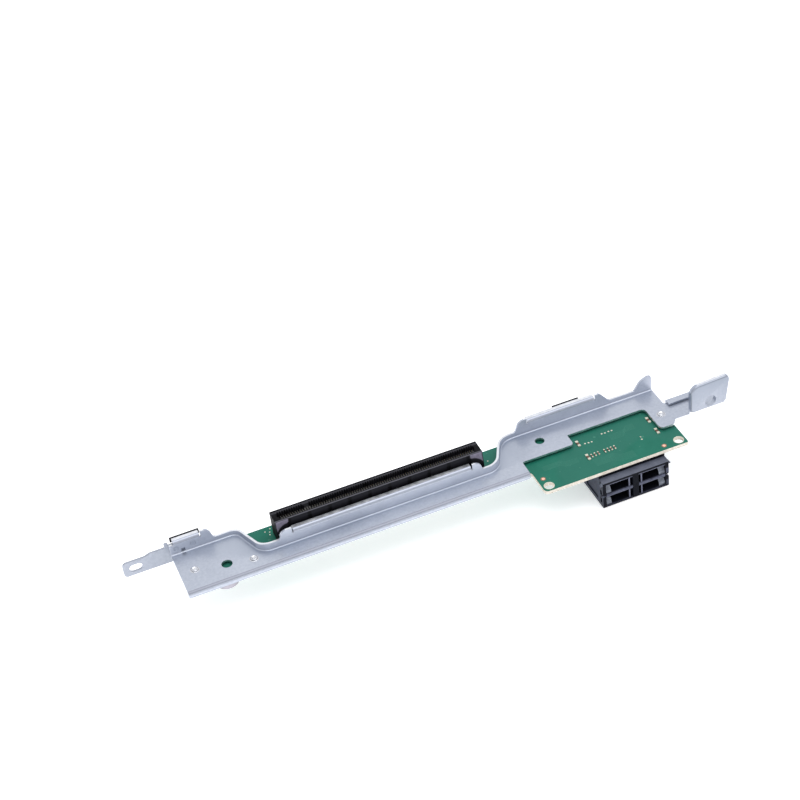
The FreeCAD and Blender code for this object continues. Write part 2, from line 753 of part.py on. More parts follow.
def port_housing():
    # stepped block under the board's front edge with two tiers of two ports
    y0 = PORT_FRONT
    y1 = PORT_BACK
    block = side_view([
        (y0, PORT_BOTTOM, 0.5),
        (y0, HOOD_TOP - HOOD_EDGE, 0),
        (y0 - HOOD_LIP, HOOD_TOP - HOOD_EDGE, 0),
        (y0 - HOOD_LIP, HOOD_TOP, 0.2),
        (BOARD_FRONT + 0.5, HOOD_TOP, 0),
        (BOARD_FRONT + 0.5, BOARD_LOW, 0),
        (y1, BOARD_LOW, 0.5),
        (y1, PORT_BOTTOM, 1.0),
    ], PORT_LEFT, PORT_RIGHT)
    upper, lower = openings()
    cuts = []
    for x, z in upper + lower:
        cuts.append(box(x, x + OPENING_WIDTH, y0 - 1, y0 + CAVITY_DEPTH, z, z + PORT_OPENING))
    rise = HOOD_TOP - PORT_BOTTOM
    for wall in (PORT_LEFT, PORT_RIGHT):
        for i in range(3):
            z = PORT_BOTTOM + rise * (0.15 + i * 0.31)
            cuts.append(box(wall - 0.5, wall + 0.5, y0 + 1.2, y0 + 2.6, z, z + rise * 0.18))
        cuts.append(box(wall - 0.4, wall + 0.4, y0 + 5, y1 - 5, PORT_BOTTOM + 2, HOOD_TOP - 2))
    adds = [block.cut(cuts)]
    for row in (upper, lower):
        for (x, z), outer in zip(row, (-1, 1)):
            adds.append(key_block(x, z, outer))
            adds.append(inner_rib(x, z, outer))
            adds.append(top_bar(x, z))
    return joined(adds)


def carrier_span(x, outer):
    # x range left free between key block and rib
    if outer < 0:
        return x + KEY_BLOCK, x + OPENING_WIDTH - RIB_GAP - RIB
    return x + RIB_GAP + RIB, x + OPENING_WIDTH - KEY_BLOCK


def carriers(row):
    blocks = []
    y0 = PORT_FRONT + CARRIER_FACE
    y1 = PORT_FRONT + CAVITY_DEPTH
    for (x, z), outer in zip(row, (-1, 1)):
        x0, x1 = carrier_span(x, outer)
        mid = z + PORT_OPENING / 2
        half = CARRIER_MOUTH / 2
        block = box(x0, x1, y0, y1, z, z + PORT_OPENING)
        mouth = side_view([
            (y0 - 1, mid - half - 1.2, 0),
            (y0 - 1, mid + half + 1.2, 0),
            (y0 + 0.6, mid + half, 0),
            (y1 - 1, mid + half, 0),
            (y1 - 1, mid - half, 0),
            (y0 + 0.6, mid - half, 0),
        ], x0 + 0.4, x1 - 0.4)
        blocks.append(block.cut(mouth))
    return Part.makeCompound(blocks)


def port_contacts(row):
    pins = []
    y0 = PORT_FRONT + CARRIER_FACE + 0.8
    y1 = PORT_FRONT + CAVITY_DEPTH - 1
    wide = PORT_CONTACT / 2
    for (x, z), outer in zip(row, (-1, 1)):
        x0, x1 = carrier_span(x, outer)
        mid = z + PORT_OPENING / 2
        half = CARRIER_MOUTH / 2
        pitch = (x1 - x0) / (PORT_CONTACTS + 1.3)
        for i in range(PORT_CONTACTS):
            cx = (x0 + x1) / 2 + (i - (PORT_CONTACTS - 1) / 2) * pitch
            for low in (mid - half, mid + half - 0.3):
                pins.append(box(cx - wide, cx + wide, y0, y1, low, low + 0.3))
    return Part.makeCompound(pins)


def standoffs():
    parts = []
    for x, y in STANDOFFS:
        spacer = post(x, y, 0, SHEET_LOW, STANDOFF_R)
        neck = post(x, y, 0, SHEET_TOP + 0.2, NECK_R)
        head = Part.makeCone(HEAD_R, HEAD_R - HEAD_RISE, HEAD_RISE, vec(x, y, SHEET_TOP))
        bore = post(x, y, -1, SHEET_TOP - 0.4, SCREW_R + FIT)
        parts.append(joined([spacer, neck, head]).cut(bore))
    return Part.makeCompound(parts)


def screw(x, y, seat, tip, head_r, head_h):
    shank = post(x, y, seat, tip, SCREW_R)
    head = Part.makeCone(head_r - 0.5, head_r, head_h, vec(x, y, seat - head_h))
    cross = [
        box(x - 1.3, x + 1.3, y - 0.25, y + 0.25, seat - head_h - 1, seat - head_h + 0.7),
        box(x - 0.25, x + 0.25, y - 1.3, y + 1.3, seat - head_h - 1, seat - head_h + 0.7),
    ]
    return joined([shank, head]).cut(cross)


def board_screws():
    tip = SHEET_TOP - 0.6
    return Part.makeCompound([
        screw(x, y, BOARD_LOW, tip, SCREW_HEAD_R, SCREW_HEAD) for x, y in STANDOFFS
    ])


def support_foot():
    low = BOARD_LOW - FOOT_HEIGHT
    disc = post(FOOT_X, FOOT_Y, low, BOARD_LOW, FOOT_R)
    disc = disc.makeChamfer(0.5, rims(disc, "z", low))
    bore = post(FOOT_X, FOOT_Y, low - 1, BOARD_LOW + 1, SCREW_R + 3 * FIT)
    well = post(FOOT_X, FOOT_Y, low - 1, BOARD_LOW - FOOT_WEB, SCREW_HEAD_R + 0.5)
    return disc.cut([bore, well])


def foot_screw():
    return screw(FOOT_X, FOOT_Y, BOARD_LOW - FOOT_WEB, BOARD_LOW + 0.9, SCREW_HEAD_R, SCREW_HEAD)


def pad_strip(x0, x1):
    y = WALL_OUT + BAND_REACH
    corners = [
        (y, BAND_TOP - STRIP_DROP, 0),
        (y, BAND_TOP + STRIP_RISE, 0),
        (y + STRIP_THICK, BAND_TOP + STRIP_RISE, 0),
        (y + STRIP_THICK, BAND_TOP - STRIP_DROP, 0),
    ]
    return side_view(corners, x0, x1)


def capacitors(ends):
    solids = []
    y = LIP_OUT - 0.95
    low = BOARD_LOW - CAPACITOR_DEPTH
    for i in range(CAPACITORS):
        x = KEY_X + 5 + i * CAPACITOR_PITCH
        if ends:
            for cx in (x - 0.65, x + 0.65):
                solids.append(box(cx - 0.15, cx + 0.15, y - 0.42, y + 0.42, low, BOARD_LOW))
        else:
            solids.append(box(x - 0.5, x + 0.5, y - 0.4, y + 0.4, low + 0.03, BOARD_LOW))
    return Part.makeCompound(solids)


def save(name, shape):
    shape.exportStep(os.path.join("parts", name + ".step"))


def main():
    os.makedirs("parts", exist_ok=True)
    upper, lower = openings()
    save("bracket", bracket())
    save("side_strap", side_strap())
    save("strap_rivets", strap_rivets())
    save("board", board())
    save("slot_housing", slot_housing())
    save("front_contacts", slot_contacts(-1))
    save("back_contacts", slot_contacts(1))
    save("port_housing", port_housing())
    save("upper_carriers", carriers(upper))
    save("lower_carriers", carriers(lower))
    save("upper_contacts", port_contacts(upper))
    save("lower_contacts", port_contacts(lower))
    save("standoffs", standoffs())
    save("board_screws", board_screws())
    save("support_foot", support_foot())
    save("foot_screw", foot_screw())
    save("left_pad", pad_strip(LEFT_BAND_X0 - STRIP_PAST_BAND, LEFT_BAND_X0 + LEFT_BAND + STRIP_PAST_BAND))
    middle = RIGHT_BAND_X0 + RIGHT_BAND * 0.61
    save("right_pad", pad_strip(middle - RIGHT_STRIP / 2, middle + RIGHT_STRIP / 2))
    save("capacitors", capacitors(False))
    save("capacitor_ends", capacitors(True))


main()
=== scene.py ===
"""Looks of a server riser card: a circuit board with a long card slot under a folded sheet bracket.

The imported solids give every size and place. Each class below dresses one sub-assembly: it copies the
solids whose shape is right, softens their edges, gives them their finish, and adds the fine parts that
the solids leave out, such as swaged heads, solder, lands and traces.
"""

from __future__ import annotations

import logging
import math
from collections.abc import Callable, Sequence
from dataclasses import dataclass
from enum import Enum
from functools import cache, reduce

import bmesh
import bpy
from mathutils import Matrix, Vector


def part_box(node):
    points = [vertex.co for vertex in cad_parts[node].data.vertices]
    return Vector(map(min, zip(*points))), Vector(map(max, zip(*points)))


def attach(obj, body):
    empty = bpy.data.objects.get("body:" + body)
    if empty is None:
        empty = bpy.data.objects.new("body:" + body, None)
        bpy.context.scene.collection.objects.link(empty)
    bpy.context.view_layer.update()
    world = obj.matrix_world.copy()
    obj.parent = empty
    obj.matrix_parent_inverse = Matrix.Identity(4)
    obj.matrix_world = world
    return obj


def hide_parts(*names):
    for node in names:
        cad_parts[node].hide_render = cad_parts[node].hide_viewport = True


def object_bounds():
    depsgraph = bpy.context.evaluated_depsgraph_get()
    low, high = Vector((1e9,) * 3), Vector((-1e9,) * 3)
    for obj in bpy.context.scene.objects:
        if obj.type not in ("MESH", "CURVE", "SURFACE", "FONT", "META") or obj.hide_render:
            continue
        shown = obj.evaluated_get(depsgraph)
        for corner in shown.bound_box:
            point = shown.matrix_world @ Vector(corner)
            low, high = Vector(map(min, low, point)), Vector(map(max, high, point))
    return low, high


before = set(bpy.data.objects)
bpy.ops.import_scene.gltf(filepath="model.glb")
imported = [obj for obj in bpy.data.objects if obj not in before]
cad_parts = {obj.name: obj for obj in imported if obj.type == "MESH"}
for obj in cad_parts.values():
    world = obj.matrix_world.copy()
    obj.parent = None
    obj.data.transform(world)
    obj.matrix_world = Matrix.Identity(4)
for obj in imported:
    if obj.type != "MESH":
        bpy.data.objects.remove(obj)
CAD_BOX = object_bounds()

MM = 0.001
BODY = "root"
LOG = logging.getLogger("riser")

# Heights of the sheet's two faces above the board.
SHEET_LOW = 1.0 * MM
SHEET_TOP = 2.0 * MM

Colour = tuple[float, float, float]
Point = tuple[float, float]
Points = tuple[Point, ...]
Inputs = dict[str | int, object]
Face = bpy.types.MeshPolygon
Mesh = bpy.types.Mesh
Piece = bpy.types.Object
Socket = bpy.types.NodeSocket
Tree = bpy.types.NodeTree


class Side(Enum):
    """The two faces of the circuit board."""

    TOP = 1
    UNDER = -1


class End(Enum):
    """The two ends of the port block."""

    RIGHT = 1
    LEFT = -1


class Graph:
    """Adds and links nodes in one shader or geometry tree."""

    def __init__(self, tree: Tree) -> None:
        """Keeps the tree that the nodes go into."""
        self.tree = tree

    def feed(self, node: bpy.types.Node, inputs: Inputs) -> None:
        """Links or sets a node's inputs.

        Args:
            node: The node.
            inputs: A socket, a number or a colour for each input, by the input's name or number.
        """
        for key, value in inputs.items():
            if isinstance(value, Socket):
                self.tree.links.new(value, node.inputs[key])
            else:
                node.inputs[key].default_value = (*value, 1.0) if isinstance(value, tuple) else value

    def add(self, kind: str, inputs: Inputs | None = None, **settings: object) -> bpy.types.Node:
        """Adds a node, sets its properties and feeds its inputs.

        Args:
            kind: The node's type name.
            inputs: What its inputs are fed with, or None.
            settings: Its properties, by name.

        Returns:
            The new node.
        """
        node = self.tree.nodes.new(kind)
        for name, value in settings.items():
            setattr(node, name, value)
        self.feed(node, inputs or {})
        return node

    def noise(self, vector: Socket, scale: object, detail: float, rough: float) -> Socket:
        """Gives a noise texture with scale cells to the metre."""
        inputs = {"Vector": vector, "Scale": scale, "Detail": detail, "Roughness": rough}
        return self.add("ShaderNodeTexNoise", inputs).outputs["Fac"]

    def math(self, operation: str, first: object, second: object = 0.0) -> Socket:
        """Gives the result of a math node."""
        return self.add("ShaderNodeMath", {0: first, 1: second}, operation=operation).outputs[0]

    def times(self, *values: object) -> Socket:
        """Gives the product of all values."""
        return reduce(lambda product, value: self.math("MULTIPLY", product, value), values)

    def wave(self, value: object, pitch: float, crest: float = 0.0) -> Socket:
        """Gives a cosine along value, with a crest at one place and at each pitch from there."""
        turn = self.times(self.math("SUBTRACT", value, crest), 2.0 * math.pi / pitch)
        return self.math("COSINE", turn)

    def span(self, value: object, low: float, high: float, to_low: float, to_high: float) -> Socket:
        """Maps value from the range low to high onto to_low to to_high, held at its ends."""
        inputs = {"Value": value, "From Min": low, "From Max": high, "To Min": to_low, "To Max": to_high}
        return self.add("ShaderNodeMapRange", inputs).outputs["Result"]

    def band(self, value: object, low: float, high: float, soft: float) -> Socket:
        """Gives 1 where value lies between low and high, with ends as wide as soft."""
        rising = self.span(value, low - soft, low, 0.0, 1.0)
        return self.times(rising, self.span(value, high, high + soft, 1.0, 0.0))

    def mix(self, share: object, first: object, second: object) -> Socket:
        """Mixes two colours: the first where share is 0, the second where it is 1."""
        inputs = {"Factor": share, 6: first, 7: second}
        return self.add("ShaderNodeMix", inputs, data_type="RGBA").outputs[2]


def new_tree(
    name: str, kind: str, inputs: dict[str, str], outputs: dict[str, str]
) -> tuple[Graph, bpy.types.NodeOutputs]:
    """Starts a node tree with named inputs and outputs.

    Args:
        name: The tree's name.
        kind: Its type: ShaderNodeTree or GeometryNodeTree.
        inputs: Kind of each input, by name.
        outputs: Kind of each output, by name.

    Returns:
        The tree's graph, and the sockets that its inputs come out of.
    """
    tree = bpy.data.node_groups.new(name, kind)
    for way, sockets in (("INPUT", inputs), ("OUTPUT", outputs)):
        for key, value in sockets.items():
            tree.interface.new_socket(key, in_out=way, socket_type="NodeSocket" + value)
    graph = Graph(tree)
    return graph, graph.add("NodeGroupInput").outputs


@cache
def cloud_group() -> Tree:
    """Builds the group for soft clouds and fine grain, as on plated sheet and moulded plastic.

    Returns:
        A group that gives a cloud mask and a height. Both its sizes are cells to the metre.
    """
    grain_share, cloud_share = 0.5, 0.25
    sizes = {"Vector": "Vector", "Cloud Size": "Float", "Grain Size": "Float"}
    graph, given = new_tree(
        "cloud_and_grain", "ShaderNodeTree", sizes, {"Cloud": "Float", "Height": "Float"}
    )
    cloud = graph.noise(given["Vector"], given["Cloud Size"], 4.0, 0.62)
    fine = graph.noise(given["Vector"], given["Grain Size"], 2.0, 0.6)
    height = graph.math("ADD", graph.times(fine, grain_share), graph.times(cloud, cloud_share))
    graph.add("NodeGroupOutput", {"Cloud": cloud, "Height": height})
    return graph.tree


@cache
def wear_and_highlight_group() -> Tree:
    """Builds the group for edges lightened partly by wearing and partly by a painted highlight, read from
    the mesh's own attribute for them.

    Returns:
        A group that gives a mask of bright spots along edges: partly wearing, partly a painted highlight.
    """
    graph, given = new_tree(
        "edge_wear", "ShaderNodeTree", {"Vector": "Vector", "Amount": "Float"}, {"Wear": "Float"}
    )
    edge = graph.add("ShaderNodeAttribute", attribute_name="edge_wear").outputs["Fac"]
    breakup = graph.span(graph.noise(given["Vector"], 900.0, 3.0, 0.65), 0.3, 0.7, 0.35, 1.0)
    graph.add("NodeGroupOutput", {"Wear": graph.times(edge, breakup, given["Amount"])})
    return graph.tree


class Surface(Graph):
    """One material's graph, with what its colour is worked out from.

    Attributes:
        place: Object coordinates.
        clouds: What the cloud group gives.
    """

    def __init__(self, material: bpy.types.Material, cloud: float, grain: float) -> None:
        """Empties the material's tree and adds the coordinates and the clouds.

        Args:
            material: The material.
            cloud: Clouds to the metre.
            grain: Grain to the metre.
        """
        material.use_nodes = True
        material.node_tree.nodes.clear()
        super().__init__(material.node_tree)
        self.place = self.add("ShaderNodeTexCoord").outputs["Object"]
        inputs = {"Vector": self.place, "Cloud Size": cloud, "Grain Size": grain}
        self.clouds = self.add("ShaderNodeGroup", inputs, node_tree=cloud_group()).outputs

    def split(self) -> bpy.types.NodeOutputs:
        """Gives x, y and z of the place."""
        return self.add("ShaderNodeSeparateXYZ", {0: self.place}).outputs

    def clouded(self, dark: float, light: float) -> Socket:
        """Gives one value in the dark of the clouds and another in their light."""
        return self.span(self.clouds["Cloud"], 0.35, 0.65, dark, light)


@dataclass(frozen=True)
class Finish:
    """A surface with clouds, grain, and edges lightened partly by wearing and partly by a painted
    highlight.

    Attributes:
        name: The material's name.
        slot: The finish's material slot. Not used.
        deep: Colour in the dark of the clouds.
        pale: Colour in the light of the clouds.
        worn_and_lit: Colour along the edges: partly wearing, partly a painted highlight.
        metallic: 1 for bare metal.
        rough: Roughness in the smooth places.
        rough_spread: How much rougher it gets.
        cloud: Clouds to the metre.
        grain: Grain to the metre.
        bump: Height of the relief, as a share of a millimetre.
        wear: How strongly the edges show wearing and the painted highlight.
        shine: Strength of the plain reflection, 0.5 for common plastic.
    """

    name: str
    slot: str
    deep: Colour
    pale: Colour
    worn_and_lit: Colour
    metallic: float = 0.0
    rough: float = 0.4
    rough_spread: float = 0.1
    cloud: float = 90.0
    grain: float = 2600.0
    bump: float = 0.02
    wear: float = 0.3
    shine: float = 0.5

    def colour(self, surface: Surface) -> Socket:
        """Gives the colour that the edges' wearing and painted highlight are mixed with."""
        return surface.mix(surface.clouded(0.0, 1.0), self.deep, self.pale)

    def material(self) -> bpy.types.Material:
        """Returns the material and builds it the first time.

        Returns:
            The material of this finish's name.
        """
        material = bpy.data.materials.get(self.name)
        if material is None:
            material = bpy.data.materials.new(self.name)
            self.build(Surface(material, self.cloud, self.grain))
        return material

    def build(self, surface: Surface) -> None:
        """Adds the shader with its colour, the edges' wearing and painted highlight, roughness and
        relief.

        Args:
            surface: The material's graph.
        """
        roughest = self.rough + self.rough_spread
        amount = {"Vector": surface.place, "Amount": self.wear}
        # Mask of the edges' wearing and of a painted highlight along them.
        wear = surface.add("ShaderNodeGroup", amount, node_tree=wear_and_highlight_group()).outputs["Wear"]
        relief = {"Strength": 0.6, "Distance": self.bump * MM, "Height": surface.clouds["Height"]}
        inputs = {
            "Base Color": surface.mix(wear, self.colour(surface), self.worn_and_lit),
            "Roughness": surface.span(surface.clouds["Cloud"], 0.3, 0.7, self.rough, roughest),
            "Metallic": self.metallic,
            "Specular IOR Level": self.shine,
            "Normal": surface.add("ShaderNodeBump", relief).outputs["Normal"],
        }
        shader = surface.add("ShaderNodeBsdfPrincipled", inputs)
        surface.add("ShaderNodeOutputMaterial", {"Surface": shader.outputs["BSDF"]})


@dataclass(frozen=True)
class MaskFinish(Finish):
    """Solder mask: even green with copper planes that show through a little lighter.

    Attributes:
        plane: Colour over the copper planes.
        patch: Copper planes to the metre.
    """

    plane: Colour = (0.024, 0.130, 0.097)
    patch: float = 34.0

    def colour(self, surface: Surface) -> Socket:
        """Gives the mask's colour, with broad copper planes under it."""
        planes = surface.span(surface.noise(surface.place, self.patch, 1.0, 0.4), 0.47, 0.53, 0.0, 0.6)
        return surface.mix(planes, super().colour(surface), self.plane)


@dataclass(frozen=True)
class LaminateFinish(Finish):
    """The board's sawn edge: thin cream layers of glass cloth.

    Attributes:
        layer: Distance between layers in metres.
    """

    layer: float = 0.748 * MM

    def colour(self, surface: Surface) -> Socket:
        """Gives the edge's colour, striped along its thickness."""
        wave = surface.wave(surface.split()["Z"], self.layer, self.layer / 4)
        return surface.mix(surface.span(wave, -1.0, 1.0, 0.0, 0.5), super().colour(surface), self.deep)


@dataclass(frozen=True)
class SlotFinish(Finish):
    """Black moulded plastic of the card slot, with painted highlights on the fine ribs and rims of its
    mouth, painted light on its front face, and a painted sheen on its end blocks.

    Attributes:
        rib: Painted highlight on the fine ribs beside the card gap.
        line: Painted highlight along the rounded rims.
        sheen: Painted sheen on the end blocks' front faces.
        block: Painted light on the front face between its notches, growing towards the top; the notches
            keep the plain plastic as painted shade.
        pitch: Distance between ribs. It and all that follows is in metres.
        ribs: Where the ribs lie across the slot.
        ribs_end: Where they end along it, from its middle.
        back_line: Where the rear rim's painted highlight lies across the slot.
        front_line: Where the front one lies.
        cell: Distance between the front face's notches.
        key: Place of the first notch.
        lit_heights: Heights over which the painted light between the notches grows from none to full.
        front: Place of the front face.
        top: Height of the mouth.
        lip_shadow: Middle of the round edge of the lip's painted shadow at each end: place along the
            slot, and height.
        lip_shadow_rim: The painted shadow's radius, and the radius at which the painted sheen is full.
    """

    rib: Colour = (0.10, 0.096, 0.088)
    line: Colour = (0.12, 0.12, 0.14)
    sheen: Colour = (0.27, 0.25, 0.33)
    block: Colour = (0.012, 0.012, 0.016)
    pitch: float = 1.0 * MM
    ribs: Point = (-2.6 * MM, -0.8 * MM)
    ribs_end: float = 41.5 * MM
    back_line: Point = (1.5 * MM, 2.4 * MM)
    front_line: Point = (-3.65 * MM, -3.1 * MM)
    cell: float = 8.53 * MM
    key: float = -30.0 * MM
    lit_heights: Point = (6.0 * MM, 9.0 * MM)
    front: float = -3.5 * MM
    top: float = 11.25 * MM
    lip_shadow: Point = (39.0 * MM, 3.0 * MM)
    lip_shadow_rim: Point = (6.1 * MM, 6.5 * MM)

    def mouth(self, surface: Surface, x: Socket, y: Socket, below: Socket) -> Socket:
        """Gives the colour of the mouth's flat rims, with painted highlights on its ribs and rims.

        Args:
            surface: The material's graph.
            x: Place along the slot.
            y: Place across the slot.
            below: Colour of the plain plastic.

        Returns:
            A colour.
        """
        # Painted highlights on the rib tops and along the rims.
        teeth = surface.span(surface.wave(x, self.pitch), -0.1, 0.5, 0.0, 1.0)
        along = surface.band(x, -self.ribs_end, self.ribs_end, 0.2 * MM)
        ribs = surface.times(surface.band(y, *self.ribs, 0.1 * MM), teeth, along)
        back = surface.times(surface.band(y, *self.back_line, 0.3 * MM), 0.4)
        lines = surface.math("ADD", back, surface.band(y, *self.front_line, 0.2 * MM))
        return surface.mix(lines, surface.mix(ribs, below, self.rib), self.line)

    def colour(self, surface: Surface) -> Socket:
        """Gives black plastic, its ribbed mouth with painted highlights, painted light on its front face
        and a painted sheen on its end blocks above the lip's painted shadow.

        Args:
            surface: The material's graph.

        Returns:
            A colour.
        """
        x, y, z = surface.split()
        plain = super().colour(surface)
        # Painted light on the front face between the notches, rising towards the top; the notches stay
        # dark as painted shade.
        blocks = surface.span(surface.wave(x, self.cell, self.key), 0.80, 0.92, 1.0, 0.0)
        blocks = surface.times(blocks, surface.span(z, *self.lit_heights, 0.0, 1.0))
        walls = surface.mix(blocks, plain, self.block)
        on_top = surface.math("GREATER_THAN", z, self.top - 0.12 * MM)
        rims = surface.mix(on_top, walls, self.mouth(surface, x, y, plain))
        # Painted sheen on the end blocks' front faces, cut off below by the round edge of the lip's
        # painted shadow.
        side = surface.math("SUBTRACT", surface.math("ABSOLUTE", x), self.lip_shadow[0])
        rise = surface.math("SUBTRACT", z, self.lip_shadow[1])
        reach = surface.math("ADD", surface.times(side, side), surface.times(rise, rise))
        lit = surface.times(
            surface.span(surface.math("SQRT", reach), *self.lip_shadow_rim, 0.0, 1.0),
            surface.band(side, 0.3 * MM, 5.0 * MM, 0.4 * MM),
            surface.math("LESS_THAN", y, self.front),
            surface.math("LESS_THAN", z, self.top - 0.2 * MM),
        )
        return surface.mix(lit, rims, self.sheen)


@dataclass(frozen=True)
class PortFinish(Finish):
    """Dark plastic of the port block, with painted light on the shelf between its tiers, on the lower
    ports' sill and at its right end.

    Attributes:
        lit: Colour of the painted light.
        front: Place of the block's front face. It and all that follows is in metres.
        middle: Place of its divider.
        mouths: Where the ports' mouths lie, from the divider.
        shelf: Heights of the shelf's front.
        sill: Heights of the lower ports' sill.
        corner: Where the painted light marks at the right end start.
        corners: Heights of those marks.
    """

    lit: Colour = (0.14, 0.15, 0.215)
    front: float = -29.75 * MM
    middle: float = 99.5 * MM
    mouths: Point = (1.5 * MM, 13.2 * MM)
    shelf: Point = (-10.75 * MM, -9.8 * MM)
    sill: Point = (-16.0 * MM, -15.8 * MM)
    corner: float = 113.0 * MM
    corners: Points = ((-9.5 * MM, -7.2 * MM), (-15.6 * MM, -13.4 * MM))

    def colour(self, surface: Surface) -> Socket:
        """Gives dark plastic with painted light on the shelf and sill, and painted light marks at the
        right end.

        Args:
            surface: The material's graph.

        Returns:
            A colour.
        """
        x, y, z = surface.split()
        # Painted light on the front of the shelf, the sill and the right end's hoods, fading away behind
        # the front.
        sill = surface.times(surface.band(z, *self.sill, 0.1 * MM), 0.5)
        off = surface.math("ABSOLUTE", surface.math("SUBTRACT", x, self.middle))
        ledges = surface.math("ADD", surface.band(z, *self.shelf, 0.08 * MM), sill)
        ledges = surface.times(ledges, surface.band(off, *self.mouths, 0.15 * MM))
        upper, lower = (surface.band(z, *heights, 0.3 * MM) for heights in self.corners)
        marks = surface.span(x, self.corner, self.corner + 0.4 * MM, 0.0, 0.75)
        marks = surface.times(surface.math("ADD", upper, lower), marks)
        near = surface.span(y, self.front + 0.3 * MM, self.front + 0.9 * MM, 1.0, 0.0)
        worn_and_lit = surface.times(surface.math("ADD", ledges, marks), near, surface.clouded(0.45, 1.0))
        return surface.mix(worn_and_lit, super().colour(surface), self.lit)


@dataclass(frozen=True)
class FadedFinish(Finish):
    """A finish that changes with the depth behind the ports' front face, used for painted light on the
    port block.

    Attributes:
        near: Colour at the front: a painted highlight on the ports' ledges, darker plastic at the front
            of the block's ends.
        start: Where it starts to change, in metres along y.
        end: Where it has changed.
    """

    near: Colour = (0.15, 0.165, 0.225)
    start: float = -28.9 * MM
    end: float = -27.4 * MM

    def colour(self, surface: Surface) -> Socket:
        """Gives the colour for a depth.

        Args:
            surface: The material's graph.

        Returns:
            A colour.
        """
        share = surface.span(surface.split()["Y"], self.start, self.end, 0.0, 1.0)
        share = surface.math("MAXIMUM", share, surface.clouded(0.4, 0.0))
        return surface.mix(share, self.near, super().colour(surface))


ZINC = Finish(
    "zinc_plated_sheet", "plated_sheet", (0.355, 0.39, 0.465), (0.41, 0.445, 0.52), (0.62, 0.65, 0.72),
    metallic=0.86, rough=0.30, rough_spread=0.08, cloud=38.0, grain=1500.0, bump=0.012, wear=0.5,
)
# Darker copy of the plated zinc: painted shade on the plate's front roll, to dim its highlight.
ZINC_ROLL_SHADE = Finish(
    "zinc_stretched_roll", "plated_sheet",
    (0.26, 0.275, 0.325), (0.30, 0.315, 0.365), (0.34, 0.355, 0.41),
    metallic=1.0, rough=0.50, grain=1500.0, bump=0.012, wear=0.2,
)
# Darker, rougher copy of the plated zinc: painted shade on the rolled hems, to soften their highlight.
ZINC_HEM_SHADE = Finish(
    "zinc_hem_roll", "plated_sheet", (0.31, 0.335, 0.395), (0.37, 0.395, 0.46), (0.46, 0.48, 0.55),
    metallic=1.0, rough=0.38, grain=1500.0, bump=0.012,
)
# Lighter copy of the plated zinc: painted light on the fronts of the folded walls.
ZINC_WALL_LIT = Finish(
    "zinc_wall_sheet", "plated_sheet", (0.43, 0.465, 0.545), (0.53, 0.57, 0.655), (0.62, 0.65, 0.72),
    metallic=0.72, rough=0.34, cloud=60.0, grain=1500.0, bump=0.012, wear=0.5,
)
# Darker copy of the plated zinc: painted shade on the strap and the grip, which face the front.
ZINC_SHADE = Finish(
    "zinc_strap_sheet", "plated_sheet", (0.27, 0.30, 0.355), (0.31, 0.34, 0.40), (0.50, 0.52, 0.58),
    metallic=0.9, rough=0.32, rough_spread=0.08, cloud=60.0, grain=1500.0, bump=0.012, wear=0.5,
)
# Bright finish for cut edges: partly the bare steel of the cut, partly a painted highlight.
CUT_EDGE_HIGHLIGHT = Finish(
    "zinc_cut_edge", "plated_sheet", (0.62, 0.64, 0.68), (0.76, 0.78, 0.82), (0.86, 0.87, 0.90),
    metallic=1.0, rough=0.30, rough_spread=0.2, cloud=400.0, grain=3500.0, bump=0.05, wear=0.4,
)
BRIGHT_STEEL = Finish(
    "bright_plated_fastener", "plated_fastener",
    (0.62, 0.63, 0.66), (0.74, 0.75, 0.78), (0.88, 0.88, 0.90),
    metallic=1.0, rough=0.18, rough_spread=0.12, cloud=500.0, grain=4000.0, wear=0.4,
)
FLUSH_RIVET = Finish(
    "flush_plated_rivet", "plated_fastener", (0.41, 0.445, 0.52), (0.50, 0.54, 0.62), (0.6, 0.62, 0.68),
    metallic=0.72, rough=0.34, cloud=300.0, grain=2500.0,
)
FOOT = Finish(
    "turned_foot_metal", "foot_metal", (0.30, 0.28, 0.32), (0.40, 0.38, 0.43), (0.55, 0.53, 0.58),
    metallic=1.0, rough=0.30, rough_spread=0.12, cloud=260.0,
)
STRIP_BLACK = Finish(
    "black_strip_rubber", "pad_rubber", (0.012, 0.012, 0.013), (0.022, 0.022, 0.024), (0.05, 0.05, 0.05),
    rough=0.7, rough_spread=0.15, cloud=300.0, grain=4200.0, bump=0.04, shine=0.15,
)
MASK = MaskFinish(
    "green_solder_mask", "board_laminate",
    (0.010, 0.122, 0.082), (0.015, 0.140, 0.096), (0.03, 0.18, 0.13),
    rough=0.30, rough_spread=0.08, cloud=120.0, grain=3000.0, bump=0.012, wear=0.15, shine=0.12,
)
LAMINATE = LaminateFinish(
    "glass_cloth_edge", "board_laminate", (0.52, 0.47, 0.38), (0.84, 0.77, 0.69), (0.9, 0.86, 0.8),
    rough=0.6, rough_spread=0.2, cloud=700.0, grain=5000.0, bump=0.05, wear=0.2,
)
TRACE = Finish(
    "green_mask_over_copper", "board_laminate",
    (0.030, 0.160, 0.115), (0.040, 0.18, 0.13), (0.05, 0.2, 0.15),
    rough=0.28, rough_spread=0.08, bump=0.01, wear=0.1, shine=0.15,
)
HALO = Finish(
    "bare_laminate_ring", "board_laminate", (0.20, 0.13, 0.09), (0.28, 0.17, 0.12), (0.34, 0.22, 0.16),
    rough=0.5, cloud=900.0, bump=0.01, wear=0.1, shine=0.2,
)
PAD_GOLD = Finish(
    "gold_plated_land", "contact_metal", (0.56, 0.54, 0.44), (0.74, 0.71, 0.60), (0.86, 0.84, 0.76),
    metallic=0.6, rough=0.34, rough_spread=0.14, cloud=700.0, bump=0.01, wear=0.2,
)
